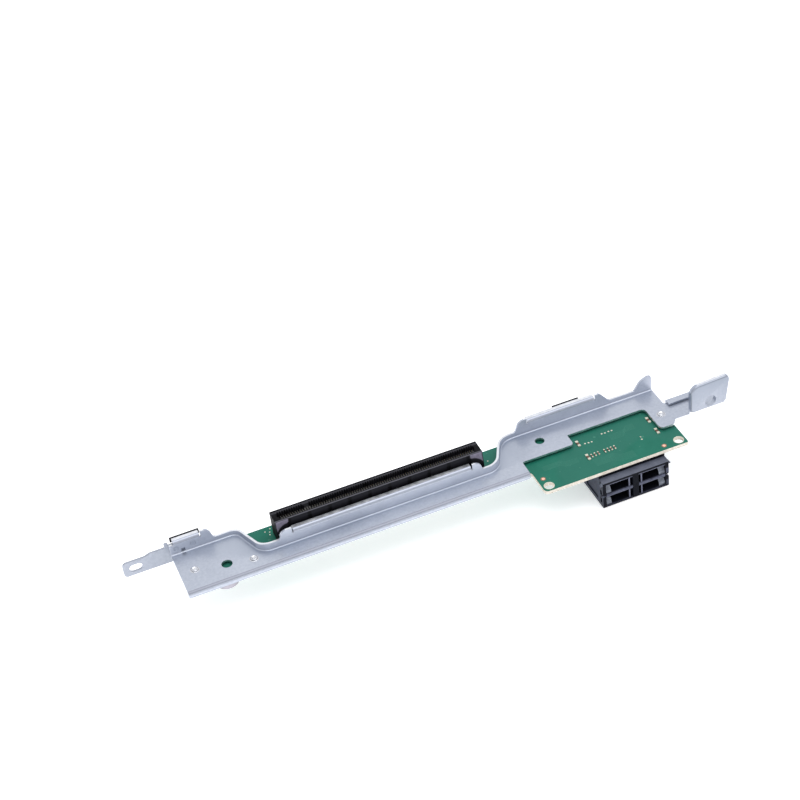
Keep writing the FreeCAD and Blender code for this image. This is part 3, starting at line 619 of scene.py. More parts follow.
COPPER = Finish(
    "bare_copper_mark", "contact_metal", (0.86, 0.40, 0.28), (0.96, 0.55, 0.42), (0.98, 0.68, 0.55),
    metallic=0.4, rough=0.38, cloud=700.0, bump=0.01, wear=0.2,
)
GOLD = Finish(
    "gold_plated_contact", "contact_metal", (0.62, 0.42, 0.16), (0.78, 0.56, 0.24), (0.90, 0.75, 0.45),
    metallic=1.0, rough=0.22, rough_spread=0.12, cloud=600.0, bump=0.01,
)
SOLDER = Finish(
    "tin_solder", "solder_metal", (0.60, 0.61, 0.63), (0.72, 0.73, 0.75), (0.85, 0.85, 0.87),
    metallic=1.0, rough=0.26, rough_spread=0.2, cloud=900.0, wear=0.2,
)
CHIP = Finish(
    "brown_chip_body", "capacitor_ceramic", (0.10, 0.055, 0.04), (0.18, 0.10, 0.07), (0.3, 0.2, 0.15),
    rough=0.45, cloud=900.0, wear=0.2, shine=0.2,
)
CERAMIC = Finish(
    "tan_capacitor_ceramic", "capacitor_ceramic",
    (0.34, 0.23, 0.14), (0.46, 0.33, 0.21), (0.6, 0.46, 0.32),
    rough=0.5, cloud=800.0, wear=0.2,
)
SLOT_BLACK = SlotFinish(
    "black_slot_plastic", "slot_plastic",
    (0.0012, 0.0012, 0.0016), (0.003, 0.003, 0.0036), (0.02, 0.02, 0.024),
    rough=0.42, rough_spread=0.15, cloud=220.0, grain=5200.0, wear=0.5, shine=0.03,
)
PORT_DARK = PortFinish(
    "blue_black_port_plastic", "port_plastic",
    (0.0015, 0.002, 0.004), (0.003, 0.004, 0.007), (0.02, 0.022, 0.032),
    rough=0.36, rough_spread=0.14, cloud=200.0, grain=5200.0, shine=0.04,
)
# Lighter, bluer copy of the port plastic: painted light on the block's ends, which stay darker at their
# front.
PORT_FLANK_LIT = FadedFinish(
    "port_flank_skin", "port_plastic", (0.019, 0.022, 0.042), (0.029, 0.033, 0.062), (0.10, 0.11, 0.16),
    rough_spread=0.14, cloud=240.0, grain=5200.0, shine=0.15,
    near=(0.004, 0.005, 0.009), start=-27.2 * MM, end=-26.8 * MM,
)
# Lighter copy of the port plastic: painted light on the block's top and back, and on its hood tabs.
PORT_LIT = Finish(
    "port_hood_skin", "port_plastic", (0.070, 0.079, 0.104), (0.110, 0.122, 0.156), (0.13, 0.14, 0.19),
    rough_spread=0.14, cloud=240.0, grain=5200.0, wear=0.45, shine=0.2,
)
# Painted highlight on the front of the ledges in the ports' mouths, fading to the dark plastic further
# in.
PORT_LEDGE_LIT = FadedFinish(
    "port_worn_ledge", "port_plastic", (0.002, 0.003, 0.005), (0.004, 0.005, 0.009), (0.20, 0.20, 0.28),
    rough=0.36, rough_spread=0.12, cloud=500.0, grain=5200.0, shine=0.1,
)
# Lighter copy of the port plastic: painted light on the upper fronts of the key blocks.
PORT_KEY_LIT = Finish(
    "port_key_block", "port_plastic", (0.10, 0.11, 0.14), (0.24, 0.27, 0.31), (0.30, 0.32, 0.38),
    rough=0.36, rough_spread=0.12, cloud=600.0, grain=5200.0, shine=0.2,
)
CARRIER_DARK = Finish(
    "dark_carrier_plastic", "carrier_plastic",
    (0.004, 0.004, 0.006), (0.008, 0.008, 0.012), (0.03, 0.03, 0.04),
    rough=0.5, cloud=260.0, wear=0.2, shine=0.1,
)


def linked(name: str, data: bpy.types.ID) -> Piece:
    """Puts a mesh, a light or a camera into the scene.

    Args:
        name: The object's name.
        data: What it shows.

    Returns:
        The object, at the origin.
    """
    made = bpy.data.objects.new(name, data)
    bpy.context.scene.collection.objects.link(made)
    return made


def welded(node: str) -> bmesh.types.BMesh:
    """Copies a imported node's loose triangles and merges their corners.

    Args:
        node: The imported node.

    Returns:
        The copy.
    """
    work = bmesh.new()
    work.from_mesh(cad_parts[node].data)
    bmesh.ops.remove_doubles(work, verts=work.verts, dist=1e-6)
    return work


def poured(work: bmesh.types.BMesh, name: str) -> Mesh:
    """Turns a bmesh into a mesh and frees it.

    Args:
        work: The bmesh.
        name: The mesh's name.

    Returns:
        The mesh.
    """
    mesh = bpy.data.meshes.new(name)
    work.to_mesh(mesh)
    work.free()
    return mesh


def shell(work: bmesh.types.BMesh, name: str) -> Mesh:
    """Turns a closed bmesh into a mesh with all its faces outwards."""
    bmesh.ops.recalc_face_normals(work, faces=work.faces)
    return poured(work, name)


def raised(work: bmesh.types.BMesh, name: str, rise_mm: float) -> Mesh:
    """Gives flat outlines a thickness.

    Args:
        work: Flat faces at height 0.
        name: The mesh's name.
        rise_mm: How far they go up.

    Returns:
        A closed mesh.
    """
    made = bmesh.ops.extrude_face_region(work, geom=list(work.faces))
    top = [corner for corner in made["geom"] if isinstance(corner, bmesh.types.BMVert)]
    bmesh.ops.translate(work, verts=top, vec=(0, 0, rise_mm * MM))
    return shell(work, name)


def plate(name: str, outline: Sequence[Point], thick_mm: float) -> Mesh:
    """Makes a thin plate from an outline.

    Args:
        name: The mesh's name.
        outline: Its corners in millimetres, anticlockwise.
        thick_mm: Its thickness, upwards from 0.

    Returns:
        A closed mesh.
    """
    work = bmesh.new()
    work.faces.new([work.verts.new((x * MM, y * MM, 0)) for x, y in outline])
    return raised(work, name, thick_mm)


def smooth(mesh: Mesh, sharp_deg: float) -> Mesh:
    """Smooths a mesh, apart from edges that turn by more than an angle.

    Args:
        mesh: The mesh.
        sharp_deg: The angle.

    Returns:
        The same mesh.
    """
    mesh.shade_smooth()
    mesh.set_sharp_from_angle(angle=math.radians(sharp_deg))
    return mesh


def turned(name: str, profile: Sequence[Point], steps: int = 40) -> Mesh:
    """Turns a profile round the z axis.

    Args:
        name: The mesh's name.
        profile: Corners as radius and height in millimetres. They run from the axis at the bottom to
            the axis on top, or round a ring's section.
        steps: Sides of the round.

    Returns:
        A closed mesh.
    """
    work = bmesh.new()
    rings = []
    for radius, height in profile:
        turns = [2 * math.pi * i / steps for i in range(steps if radius > 1e-6 else 1)]
        corners = [(radius * math.cos(turn), radius * math.sin(turn), height) for turn in turns]
        rings.append([work.verts.new(Vector(corner) * MM) for corner in corners])
    for low, high in zip(rings, rings[1:] + rings[:1]):
        for i in range(steps):
            j = i + 1
            corners = (low[i % len(low)], low[j % len(low)], high[j % len(high)], high[i % len(high)])
            unique = list(dict.fromkeys(corners))
            if len(unique) > 2:
                work.faces.new(unique)
    return smooth(shell(work, name), 40)


def oblong(length: float, width: float, radius: float, steps: int = 2) -> list[Point]:
    """Gives the outline of a rectangle with rounded corners, centred on the origin.

    Args:
        length: Its length in millimetres.
        width: Its width.
        radius: The corners' radius.
        steps: Sides of each corner.

    Returns:
        The outline, anticlockwise.
    """
    outline = []
    for turn, (sx, sy) in enumerate(((1, 1), (-1, 1), (-1, -1), (1, -1))):
        for i in range(steps + 1):
            angle = math.pi / 2 * (turn + i / steps)
            x = sx * (length / 2 - radius) + radius * math.cos(angle)
            outline.append((x, sy * (width / 2 - radius) + radius * math.sin(angle)))
    return outline


def merged_copy(node: str, name: str, finish: Finish) -> Piece:
    """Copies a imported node, with its loose triangles joined into whole faces.

    Args:
        node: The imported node.
        name: The new piece's name.
        finish: Its finish.

    Returns:
        The new piece.
    """
    work = welded(node)
    bmesh.ops.dissolve_limit(work, angle_limit=math.radians(0.5), verts=work.verts, edges=work.edges)
    piece = linked(name, poured(work, name))
    piece.data.materials.append(finish.material())
    return piece


def islands(node: str) -> list[list[Vector]]:
    """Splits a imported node's mesh into its separate solids.

    Args:
        node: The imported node.

    Returns:
        The corners of each solid.
    """
    work = welded(node)
    seen: set[bmesh.types.BMVert] = set()
    found = []
    for start in work.verts:
        if start in seen:
            continue
        seen.add(start)
        queue = [start]
        corners = []
        while queue:
            vert = queue.pop()
            corners.append(vert.co.copy())
            near = [edge.other_vert(vert) for edge in vert.link_edges]
            fresh = [other for other in near if other not in seen]
            seen.update(fresh)
            queue.extend(fresh)
        found.append(corners)
    work.free()
    return found


def baked(piece: Piece) -> Piece:
    """Turns a piece and its modifiers into a plain mesh.

    Args:
        piece: The object with modifiers.

    Returns:
        The same object with none.
    """
    graph = bpy.context.evaluated_depsgraph_get()
    mesh = bpy.data.meshes.new_from_object(piece.evaluated_get(graph), depsgraph=graph)
    mesh.name = piece.name
    piece.modifiers.clear()
    piece.data = mesh
    return piece


def worked(piece: Piece, kind: str, **settings: object) -> Piece:
    """Puts one modifier on a piece and bakes it.

    Args:
        piece: The object.
        kind: The modifier's type.
        settings: Its properties, by name.

    Returns:
        The same object as a plain mesh.
    """
    modifier = piece.modifiers.new(kind.lower(), kind)
    for name, value in settings.items():
        setattr(modifier, name, value)
    return baked(piece)


def soften(piece: Piece, width_mm: float, angle_deg: float = 32.0) -> Piece:
    """Gives a piece's sharp edges a small round and a mask along it for wearing and a painted highlight.

    Args:
        piece: The object.
        width_mm: Width of the round.
        angle_deg: Edges that turn by more than this are rounded.

    Returns:
        The same object as a plain mesh.
    """
    marked = len(piece.data.materials)
    piece.data.materials.append(None)
    worked(
        piece, "BEVEL", width=width_mm * MM, segments=2, limit_method="ANGLE",
        angle_limit=math.radians(angle_deg), use_clamp_overlap=False, material=marked,
    )
    mesh = piece.data
    # Marks the bevel's corners for wearing and for a painted highlight.
    worn_and_lit = [0.0] * len(mesh.vertices)
    for face in mesh.polygons:
        if face.material_index == marked:
            face.material_index = 0
            for index in face.vertices:
                worn_and_lit[index] = 1.0
    mesh.materials.pop(index=marked)
    mesh.attributes.new("edge_wear", "FLOAT", "POINT").data.foreach_set("value", worn_and_lit)
    smooth(mesh, 50)
    return worked(piece, "WEIGHTED_NORMAL", keep_sharp=True, weight=80)


def seated(piece: Piece, finish: Finish, *nodes: str) -> Piece:
    """Makes a piece ride on the body and hides the nodes that it stands for.

    Args:
        piece: The piece.
        finish: Its finish. Not used.
        nodes: The nodes that it stands for.

    Returns:
        The piece.
    """
    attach(piece, BODY)
    if nodes:
        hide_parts(*nodes)
    LOG.info("%s: %d faces", piece.name, len(piece.data.polygons))
    return piece


def dressed(node: str, name: str, finish: Finish, round_mm: float, angle_deg: float = 32.0) -> Piece:
    """Copies a node, softens it and lets it stand for the node."""
    return seated(soften(merged_copy(node, name, finish), round_mm, angle_deg), finish, node)


def painted(node: str, finish: Finish) -> None:
    """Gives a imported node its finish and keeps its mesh.

    Args:
        node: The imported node.
        finish: Its finish.
    """
    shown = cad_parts[node]
    shown.data.materials.clear()
    shown.data.materials.append(finish.material())
    LOG.info("%s: painted %s", node, finish.name)


def repaint(piece: Piece, choices: dict[Finish, Callable[[Face], bool]]) -> None:
    """Gives some faces of a piece other finishes.

    Args:
        piece: The piece.
        choices: For each finish, what tells whether a face gets it. Where several do, the last holds.
    """
    for finish, chosen in choices.items():
        piece.data.materials.append(finish.material())
        for face in piece.data.polygons:
            if chosen(face):
                face.material_index = len(piece.data.materials) - 1


@cache
def repeat_tree() -> Tree:
    """Builds the geometry tree that sets a pattern on each point of a mesh, with a small random turn.

    Returns:
        The tree, which ends in Realize Instances and Set Material.
    """
    points = {"Geometry": "Geometry"}
    inputs = {"Pattern": "Object", "Turn": "Float", "Size": "Float", "Finish": "Material"}
    graph, given = new_tree("set_on_points", "GeometryNodeTree", points | inputs, points)
    pattern = graph.add("GeometryNodeObjectInfo", {"Object": given["Pattern"]}).outputs["Geometry"]
    limits = {2: 0.0, 3: given["Turn"], "Seed": 7}
    chance = graph.add("FunctionNodeRandomValue", limits, data_type="FLOAT").outputs[1]
    turn = graph.add("ShaderNodeCombineXYZ", {"Z": chance}).outputs[0]
    where = {"Points": given["Geometry"], "Instance": pattern, "Rotation": turn, "Scale": given["Size"]}
    put = graph.add("GeometryNodeInstanceOnPoints", where).outputs[0]
    real = graph.add("GeometryNodeRealizeInstances", {0: put}).outputs[0]
    dress = graph.add("GeometryNodeSetMaterial", {"Geometry": real, "Material": given["Finish"]})
    graph.add("NodeGroupOutput", {"Geometry": dress.outputs[0]})
    return graph.tree


def spread(
    name: str, pattern: Mesh, places: list[Vector], finish: Finish, *nodes: str, turn: float = 0.0
) -> None:
    """Sets a pattern on each place, as one piece.

    Args:
        name: The piece's name.
        pattern: The mesh to repeat, round the origin.
        places: Where it goes, in metres.
        finish: Its finish.
        nodes: The nodes that it stands for.
        turn: Most random turn about z, in radians.
    """
    model = linked(name + "_pattern", pattern)
    points = bpy.data.meshes.new(name)
    points.from_pydata([tuple(place) for place in places], [], [])
    piece = linked(name, points)
    modifier = piece.modifiers.new("spread", "NODES")
    modifier.node_group = repeat_tree()
    values = {"Pattern": model, "Turn": turn, "Size": 1.0, "Finish": finish.material()}
    for item in modifier.node_group.interface.items_tree:
        if item.in_out == "INPUT" and item.name in values:
            modifier[item.identifier] = values[item.name]
    baked(piece)
    bpy.data.objects.remove(model)
    seated(piece, finish, *nodes)


@dataclass
class Bracket:
    """The folded sheet with its walls, lip, arm and grip.

    Its faces are told apart by their places and by the x, y and z of their normals.

    Attributes:
        flat: Least z of a level face's normal.
        rim_area: Largest face that can be a cut rim, in square metres.
        grip_start: Where the grip starts, to the right of the plate and its walls.
    """

    flat: float = 0.985
    rim_area: float = 1.2e-4
    grip_start: float = 130.0 * MM

    def is_cut(self, face: Face) -> bool:
        """Tells whether a face is a sawn or punched edge, the plate's rim or the top of a wall, which
        gets a bright finish: partly bare cut steel, partly a painted highlight.

        Args:
            face: A face of the bracket's mesh.

        Returns:
            True on a cut edge.
        """
        rim = abs(face.normal.z) < 0.05 and SHEET_LOW - 1e-5 < face.center.z < SHEET_TOP + 1e-5
        above = face.center.z > SHEET_TOP + 2.0 * MM and face.area < self.rim_area
        return rim or (above and face.normal.z > self.flat)

    def is_roll(self, face: Face) -> bool:
        """Tells whether a face is on the plate's front roll, which gets a darker zinc as painted shade.
        """
        low = SHEET_LOW < face.center.z < SHEET_TOP + 1e-6
        return low and face.normal.y < -0.03 and 0.62 < face.normal.z < 0.9995

    def is_hem(self, face: Face) -> bool:
        """Tells whether a face is on a rolled hem at the top of the wall, which gets a darker zinc as
        painted shade.
        """
        return face.center.z > SHEET_TOP + 2.2 * MM and face.normal.z > 0.12 and face.normal.y < -0.02

    def is_wall(self, face: Face) -> bool:
        """Tells whether a face is on the front of the folded wall, which gets a lighter zinc as painted
        light.
        """
        wall = face.center.x < self.grip_start and face.center.z > SHEET_TOP + 0.6 * MM
        return wall and face.normal.y < -0.4 and face.normal.z <= 0.12

    def is_grip(self, face: Face) -> bool:
        """Tells whether a face is the grip's front, which gets a darker zinc as painted shade."""
        return face.center.x > self.grip_start and face.normal.y < -0.8

    def make(self) -> None:
        """Builds the sheet, gives its cut edges a bright finish with a painted highlight, and paints
        light on its walls and shade on its rolls, hems and grip.
        """
        sheet = dressed("bracket", "bracket_sheet", ZINC, 0.07, 40.0)
        repaint(sheet, {ZINC_WALL_LIT: self.is_wall, CUT_EDGE_HIGHLIGHT: self.is_cut, ZINC_HEM_SHADE: self.is_hem})
        repaint(sheet, {ZINC_ROLL_SHADE: self.is_roll, ZINC_SHADE: self.is_grip})


@dataclass
class Strap:
    """The strap at the left end, its rivets and the two black strips.

    Attributes:
        head: Radius of a rivet's head in millimetres.
        rise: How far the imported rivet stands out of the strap.
        dome: Height of the rivet's domed head.
        shank: Radius and length of its shank.
    """

    head: float = 1.8
    rise: float = 0.7
    dome: float = 0.315
    shank: Point = (1.0, 2.0)

    def rivet(self) -> Mesh:
        """Makes a rivet's round head and shank, with its axis along z.

        Returns:
            The mesh.
        """
        radius, length = self.shank
        angles = [math.pi / 12 * i for i in range(7)]
        dome = [(self.head * math.cos(angle), self.dome * math.sin(angle)) for angle in angles]
        return turned("rivet", [(0, -length), (radius, -length), (radius, 0), *dome])

    def make(self) -> None:
        """Builds the strap, the rivets and the strips."""
        # The strap is in the darker zinc: painted shade.
        dressed("side_strap", "strap_plate", ZINC_SHADE, 0.07)
        low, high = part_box("strap_rivets")
        model = self.rivet()
        model.transform(Matrix.Rotation(-math.pi / 2, 4, "X"))
        seat, height = high.y - self.rise * MM, (low.z + high.z) / 2
        ends = (low.x + self.head * MM, high.x - self.head * MM)
        places = [Vector((x, seat, height)) for x in ends]
        spread("strap_rivet_heads", model, places, FLUSH_RIVET, "strap_rivets")
        for side in ("left", "right"):
            dressed(f"{side}_pad", f"{side}_strip", STRIP_BLACK, 0.12)


@dataclass
class Board:
    """The circuit board with its lands, marks, traces and under-side parts, in millimetres.

    Attributes:
        thick: The board's thickness.
        lift: How far lands and traces stand above the mask.
        large_chips: Places of the large chip parts.
        small_chips: Places of the small chip parts.
        dots: Places of the small round lands.
        spots: Places of the small test spots beside the slot.
        dull_dots: Places of round lands under the mask.
        fiducials: Places of the bare copper marks.
        bundles: Start in x, start in y, count, run and slant of each bundle of traces.
        trace: Half width of a trace, and distance between traces.
        bend: Share of the run before the slanted step, and how much sooner each next trace bends.
        chip_heights: Height of a chip part's ends and of its body.
        wide: Length of the board's wide part.
        inset: Distance of its corner holes from its edges.
        hole: Radius of a corner hole.
        rims: Outer radius of the holes' rims on top and under the board.
        bead: Profile of a solder joint.
    """

    thick: float = 1.6
    lift: float = 0.03
    large_chips: Points = ((85.25, -6.45), (85.2, -15.9), (117.15, -6.95), (117.1, -14.85))
    small_chips: Points = (
        (86.9, -16.0), (88.45, -15.85), (90.0, -15.8), (92.8, -15.8), (94.4, -15.8), (95.85, -15.75),
        (97.35, -15.7),
    )
    dots: Points = (
        (87.9, -7.55), (89.4, -7.75), (90.8, -7.8), (96.6, -5.3), (98.0, -5.45), (99.7, -5.3),
        (101.1, -5.4), (109.5, -14.8), (109.4, -16.35),
    )
    spots: Points = ((-44.9, 6.5), (-46.0, 3.2), (-45.6, 4.7), (-47.3, 5.6), (46.6, 3.4), (48.4, 1.9))
    dull_dots: Points = ((93.0, -5.75), (116.1, -1.5), (110.4, -15.1), (-47.3, 0.4))
    fiducials: Points = ((63.6, -19.05), (115.4, -24.3))
    bundles: tuple[tuple[float, float, int, float, float], ...] = (
        (86.0, -18.6, 7, 17.0, 2.2), (98.5, -7.6, 6, 12.0, -2.0), (66.0, -12.4, 5, 15.0, 1.6),
    )
    trace: Point = (0.11, 0.62)
    bend: Point = (0.55, 0.25)
    chip_heights: Point = (0.42, 0.36)
    wide: float = 64.25
    inset: float = 3.0
    hole: float = 2.0
    rims: Point = (2.2, 2.75)
    bead: Points = ((0, 0), (0.48, 0), (0.36, 0.1), (0.2, 0.24), (0, 0.28))

    def places(self, points: Sequence[Point], side: Side = Side.TOP) -> list[Vector]:
        """Puts plan points on a face of the board, in metres."""
        z = 0.0 if side is Side.TOP else -(self.thick + self.lift) * MM
        return [Vector((x * MM, y * MM, z)) for x, y in points]

    def disc(
        self, name: str, radius: float, rise: float, places: list[Vector], finish: Finish, steps: int = 24
    ) -> None:
        """Sets a flat round mark on each place."""
        profile = ((0, 0), (radius, 0), (radius, rise), (0, rise))
        spread(name, turned(name, profile, steps), places, finish)

    def chips(self, name: str, middles: Points, reach: float, width: float, length: float) -> None:
        """Sets chip parts, each a brown body between two tinned ends.

        Args:
            name: The pieces' name.
            middles: Their middles.
            reach: From the middle to each end's middle.
            width: Width of an end.
            length: Length of an end.
        """
        end_height, body_height = self.chip_heights
        tip = plate(name + "_end", oblong(width, length, 0.12), end_height)
        tips = [(x, y + side * reach) for x, y in middles for side in (-1, 1)]
        spread(name + "_ends", tip, self.places(tips), PAD_GOLD)
        body = plate(name + "_body", oblong(width * 0.9, 2 * reach - length, 0.05), body_height)
        spread(name + "_bodies", body, self.places(middles), CHIP)

    def lands(self) -> None:
        """Sets the chip parts, the round lands and the copper marks."""
        self.chips("large_chip", self.large_chips, 1.25, 1.15, 1.15)
        self.chips("small_chip", self.small_chips, 0.8, 0.6, 0.55)
        self.disc("round_lands", 0.38, self.lift, self.places(self.dots), PAD_GOLD)
        self.disc("test_spots", 0.28, self.lift, self.places(self.spots), PAD_GOLD)
        self.disc("masked_lands", 0.62, self.lift, self.places(self.dull_dots), TRACE)
        self.disc("mark_rings", 1.1, self.lift, self.places(self.fiducials), HALO)
        self.disc("copper_marks", 0.66, self.lift * 2, self.places(self.fiducials), COPPER)

    def traces(self) -> None:
        """Runs bundles of traces under the mask, each with one slanted step."""
        work = bmesh.new()
        half, pitch = self.trace
        share, sooner = self.bend
        for start, first, count, run, slant in self.bundles:
            for i in range(count):
                y = first - pitch * i
                bend = start + run * share - sooner * i
                path = ((start, y), (bend, y), (bend + abs(slant), y - slant), (start + run, y - slant))
                low = [work.verts.new((x * MM, (b - half) * MM, 0)) for x, b in path]
                high = [work.verts.new((x * MM, (b + half) * MM, 0)) for x, b in path]
                for k in range(len(path) - 1):
                    work.faces.new((low[k], low[k + 1], high[k + 1], high[k]))
        mesh = raised(work, "traces", self.lift / 2)
        mesh.materials.append(TRACE.material())
        seated(linked("traces", mesh), TRACE)

    def hole_rims(self) -> None:
        """Sets the plated rims round the two corner holes, narrower on top."""
        low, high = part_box("board")
        right = high.x / MM - self.inset
        holes = [(x, low.y / MM + self.inset) for x in (right - self.wide + 2 * self.inset, right)]
        for side, outer in zip(Side, self.rims):
            section = ((self.hole, 0), (self.hole, self.lift), (outer, self.lift), (outer, 0))
            rim = turned("rim", section)
            spread(f"hole_rims_{side.name.lower()}", rim, self.places(holes, side), PAD_GOLD)

    def solder(self) -> None:
        """Sets a solder joint under each slot contact's tail."""
        joint = turned("joint", self.bead, 12)
        joint.transform(Matrix.Rotation(math.pi, 4, "X"))
        places = []
        for corners in islands("front_contacts") + islands("back_contacts"):
            low = min(corner.z for corner in corners)
            feet = [corner for corner in corners if corner.z < low + 0.1 * MM]
            middle = sum(feet, Vector()) / len(feet)
            places.append(Vector((middle.x, middle.y, -self.thick * MM)))
        spread("solder_joints", joint, places, SOLDER)

    def vias(self) -> None:
        """Scatters small vias on both faces: beside the slot, near the ports and behind the slot."""
        spots = [(50.0 + 3.1 * i + 1.3 * (i % 3), 6.4 - 1.9 * (i * 5 % 4)) for i in range(20)]
        spots += [(66.0 + 2.7 * i, -20.0 + 1.7 * (i * 3 % 5)) for i in range(17)]
        spots += [(-44.0 + 4.6 * i, 6.6 + 0.9 * (i % 2)) for i in range(18)]
        places = self.places(spots) + self.places(spots, Side.UNDER)
        self.disc("vias", 0.3, self.lift, places, TRACE, 12)

    def make(self) -> None:
        """Builds the board, green with a cream sawn edge, and what lies on it."""
        laminate = dressed("board", "board_laminate", MASK, 0.06)
        repaint(laminate, {LAMINATE: lambda face: abs(face.normal.z) < 0.7})
        self.solder()
        self.vias()
        self.lands()
        self.traces()
        self.hole_rims()
        dressed("capacitors", "capacitor_bodies", CERAMIC, 0.05)
        dressed("capacitor_ends", "capacitor_caps", SOLDER, 0.05)


@dataclass
class CardSlot:
    """The long black slot and its sprung contacts."""

    def make(self) -> None:
        """Dresses the housing and paints the contacts."""
        dressed("slot_housing", "slot_body", SLOT_BLACK, 0.06)
        painted("front_contacts", GOLD)
        painted("back_contacts", GOLD)


@dataclass
class PortBlock:
    """The block of four cable ports under the board's front edge.

    Attributes:
        skin: How far behind the front face the keys, ribs and bars stand. It is in metres, as is all
            down to keys.
        top: Least height of the block's top.
        flank: Least distance of its ends from its divider.
        keys: Where the key blocks lie, from the divider.
        gap: Corners in x and z of the gap between the hoods at the right end, in millimetres.
        tab: Corners in x and z of the pointed tab there.
    """

    skin: float = 1.3 * MM
    top: float = -4.6 * MM
    flank: float = 14.2 * MM
    keys: Point = (10.6 * MM, 13.5 * MM)
    gap: Points = ((113.0, -10.5), (115.0, -9.9), (115.0, -11.9))
    tab: Points = ((113.8, -3.45), (114.4, -3.45), (115.4, -4.9), (114.5, -5.1), (113.8, -5.1))

    def wedge(self, name: str, outline: Points, deep: float, end: End) -> Mesh:
        """Makes a prism that stands on the front face at one end.

        Args:
            name: The mesh's name.
            outline: Its corners in x and z, in millimetres, at the right end.
            deep: How far it runs back in millimetres.
            end: The end where it goes.

        Returns:
            The mesh.
        """
        middle = PORT_DARK.middle / MM
        points = [(middle + end.value * (x - middle), z) for x, z in outline]
        mesh = plate(name, points[:: end.value], deep)
        front = Matrix.Translation((0, PORT_DARK.front + deep * MM, 0))
        mesh.transform(front @ Matrix.Rotation(math.pi / 2, 4, "X"))
        return mesh

    def split(self, piece: Piece) -> None:
        """Cuts the gap between the upper and the lower hoods at both ends.

        Args:
            piece: The block.
        """
        for end in End:
            cutter = linked("gap_cutter", self.wedge("gap_cutter", self.gap, 1.6, end))
            cutter.location.y = -0.1 * MM
            worked(piece, "BOOLEAN", operation="DIFFERENCE", object=cutter)
            bpy.data.objects.remove(cutter)

    def is_outer(self, face: Face) -> bool:
        """Tells whether a face is on the block's top or back, which get painted light."""
        return (face.normal.z > 0.5 and face.center.z > self.top) or face.normal.y > 0.8

    def is_flank(self, face: Face) -> bool:
        """Tells whether a face is on one of the block's ends, which get painted light."""
        return abs(face.normal.x) > 0.8 and abs(face.center.x - PORT_DARK.middle) > self.flank

    def is_ledge(self, face: Face) -> bool:
        """Tells whether a face is on a key, a rib or a bar in a port's mouth, which get a painted
        highlight.
        """
        behind = 0.3 * MM < face.center.y - PORT_DARK.front < self.skin
        return behind and (face.normal.y < -0.5 or face.normal.z > 0.5)

    def is_key(self, face: Face) -> bool:
        """Tells whether a face is the upper front of a key block, which gets painted light."""
        inside = self.keys[0] < abs(face.center.x - PORT_DARK.middle) < self.keys[1]
        return inside and 0.5 * MM < face.center.y - PORT_DARK.front < 4.0 * MM and face.normal.y < -0.3

    def make(self) -> None:
        """Dresses the housing, paints light on its top, ends, ledges and keys as lighter copies of its
        plastic, adds its hood tabs in such a copy and paints the carriers and contacts.
        """
        body = merged_copy("port_housing", "port_body", PORT_DARK)
        self.split(body)
        seated(soften(body, 0.12), PORT_DARK, "port_housing")
        repaint(body, {PORT_LIT: self.is_outer, PORT_FLANK_LIT: self.is_flank})
        repaint(body, {PORT_LEDGE_LIT: self.is_ledge, PORT_KEY_LIT: self.is_key})
        for end in End:
            name = f"{end.name.lower()}_hood_tab"
            tab = linked(name, self.wedge(name, self.tab, 1.2, end))
            # The hood tabs get the lighter copy of the port plastic as painted light.
            tab.data.materials.append(PORT_LIT.material())
            seated(soften(tab, 0.08), PORT_LIT)
        for tier in ("upper", "lower"):
            painted(f"{tier}_carriers", CARRIER_DARK)
            painted(f"{tier}_contacts", GOLD)


@dataclass
class Fasteners:
    """The swaged standoffs, the screws and the foot.

    Attributes:
        body: Radius of a standoff in millimetres.
        neck: Radius of its neck through the sheet.
        head: Radius of its swaged head.
        rise: Height of the head's dome above the sheet.
        left_y: Place of the left standoff from back to front.
        front_x: Place of the front standoff along the slot.
        right_y: Place of the right standoff from back to front.
    """

    body: float = 2.6
    neck: float = 1.5
    head: float = 1.9
    rise: float = 0.6
    left_y: float = -3.9
    front_x: float = -56.4
    right_y: float = -8.2

    def standoff(self) -> Mesh:
        """Makes one standoff: round spacer, neck and domed head with a dimple.

        Returns:
            The mesh.
        """
        low, top = SHEET_LOW / MM, SHEET_TOP / MM
        crest = top + self.rise
        profile = [(0, 0), (self.body - 0.1, 0), (self.body, 0.1), (self.body, low - 0.02)]
        profile += [(self.neck, low - 0.02), (self.neck, top), (self.head, top), (self.head, top + 0.1)]
        profile += [(1.72, top + 0.14), (1.5, top - 0.15), (1.38, top - 0.12), (1.28, crest - 0.12)]
        profile += [(1.12, crest), (0.92, crest - 0.05), (0.55, top + 0.15), (0, top + 0.1)]
        return turned("standoff", profile, 48)

    def make(self) -> None:
        """Builds the standoffs and dresses the screws and the foot."""
        low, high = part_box("standoffs")
        reach = self.body * MM
        places = [
            Vector((low.x + reach, self.left_y * MM, 0)),
            Vector((self.front_x * MM, low.y + reach, 0)),
            Vector((high.x - reach, self.right_y * MM, 0)),
        ]
        spread("swaged_standoffs", self.standoff(), places, BRIGHT_STEEL, "standoffs", turn=math.pi)
        dressed("board_screws", "under_screws", BRIGHT_STEEL, 0.05)
        dressed("support_foot", "round_foot", FOOT, 0.12)
        dressed("foot_screw", "foot_screw_head", BRIGHT_STEEL, 0.05)


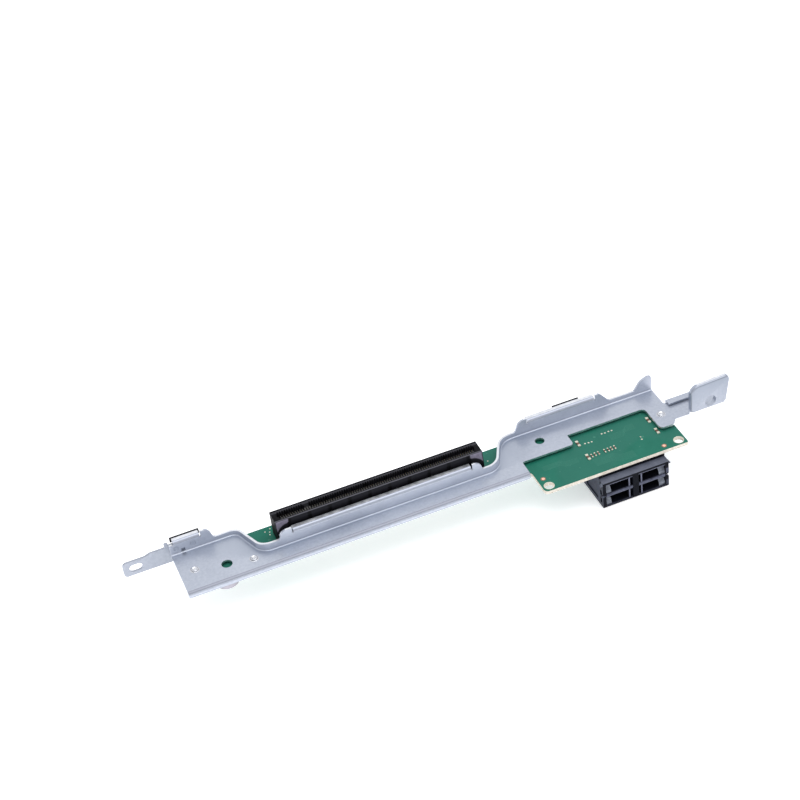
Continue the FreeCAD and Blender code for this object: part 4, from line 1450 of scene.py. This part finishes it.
@dataclass
class Studio:
    """The floor, the light and the camera of the photo's view, in metres.

    Attributes:
        camera_at: The camera's place.
        camera_turn: Its turn about x, y and z in degrees.
        focal: Its focal length in millimetres, on a sensor as wide as film.
        film: Width of that sensor in millimetres.
        half: Half the floor's side.
        drop: How far the floor lies below the object.
        lamp_at: The light's place.
        lamp_size: Its side.
        watts: Its power.
    """

    camera_at: tuple[float, float, float] = (-0.14957, -0.54499, 0.50037)
    camera_turn: tuple[float, float, float] = (51.1995, 6.2523, -21.7453)
    focal: float = 84.3
    film: float = 36.0
    half: float = 3.0
    drop: float = 0.2 * MM
    lamp_at: tuple[float, float, float] = (0.2, -0.05, 1.2)
    lamp_size: float = 1.1
    watts: float = 7.0

    def camera(self) -> None:
        """Makes the camera of the photo's view."""
        lens = bpy.data.cameras.new("camera")
        lens.lens = self.focal
        lens.sensor_width = self.film
        lens.clip_start = 0.01
        made = linked("camera", lens)
        made.location = self.camera_at
        made.rotation_euler = [math.radians(angle) for angle in self.camera_turn]
        bpy.context.scene.camera = made

    def floor(self) -> None:
        """Makes the pale floor just below the object."""
        z = CAD_BOX[0].z - self.drop
        mesh = bpy.data.meshes.new("floor")
        corners = [(x * self.half, y * self.half, z) for x, y in ((-1, -1), (1, -1), (1, 1), (-1, 1))]
        mesh.from_pydata(corners, [], [(0, 1, 2, 3)])
        material = bpy.data.materials.new("pale_floor")
        material.use_nodes = True
        look = {
            "Base Color": (0.93, 0.93, 0.94), "Roughness": 0.9, "Specular IOR Level": 0.0,
            "Emission Color": (1.0, 0.99, 0.99), "Emission Strength": 0.45,
        }
        Graph(material.node_tree).feed(material.node_tree.nodes["Principled BSDF"], look)
        mesh.materials.append(material)
        linked("floor", mesh)

    def world(self) -> None:
        """Makes the even pale surroundings."""
        world = bpy.data.worlds.new("surroundings")
        world.use_nodes = True
        graph = Graph(world.node_tree)
        way = graph.add("ShaderNodeTexCoord").outputs["Generated"]
        y = graph.add("ShaderNodeSeparateXYZ", {0: way}).outputs["Y"]
        sky = {"Color": (0.965, 0.975, 1.0), "Strength": graph.span(y, -0.9, 0.9, 0.98, 1.06)}
        graph.feed(world.node_tree.nodes["Background"], sky)
        bpy.context.scene.world = world

    def light(self) -> None:
        """Makes one soft square light that faces the origin."""
        lamp = bpy.data.lights.new("key", "AREA")
        lamp.shape = "SQUARE"
        lamp.size = self.lamp_size
        lamp.energy = self.watts
        made = linked("key", lamp)
        made.location = self.lamp_at
        made.rotation_euler = (-Vector(self.lamp_at)).to_track_quat("-Z", "Y").to_euler()

    def make(self) -> None:
        """Makes the whole studio."""
        self.camera()
        self.floor()
        self.world()
        self.light()
        bpy.context.scene.view_settings.view_transform = "Standard"


def main() -> None:
    """Builds the object's pieces in order, then the studio."""
    logging.basicConfig(level=logging.INFO, format="%(message)s")
    for part in (Bracket(), Strap(), Board(), CardSlot(), PortBlock(), Fasteners(), Studio()):
        part.make()
        LOG.info("made %s", type(part).__name__)


if __name__ == "__main__":
    main()
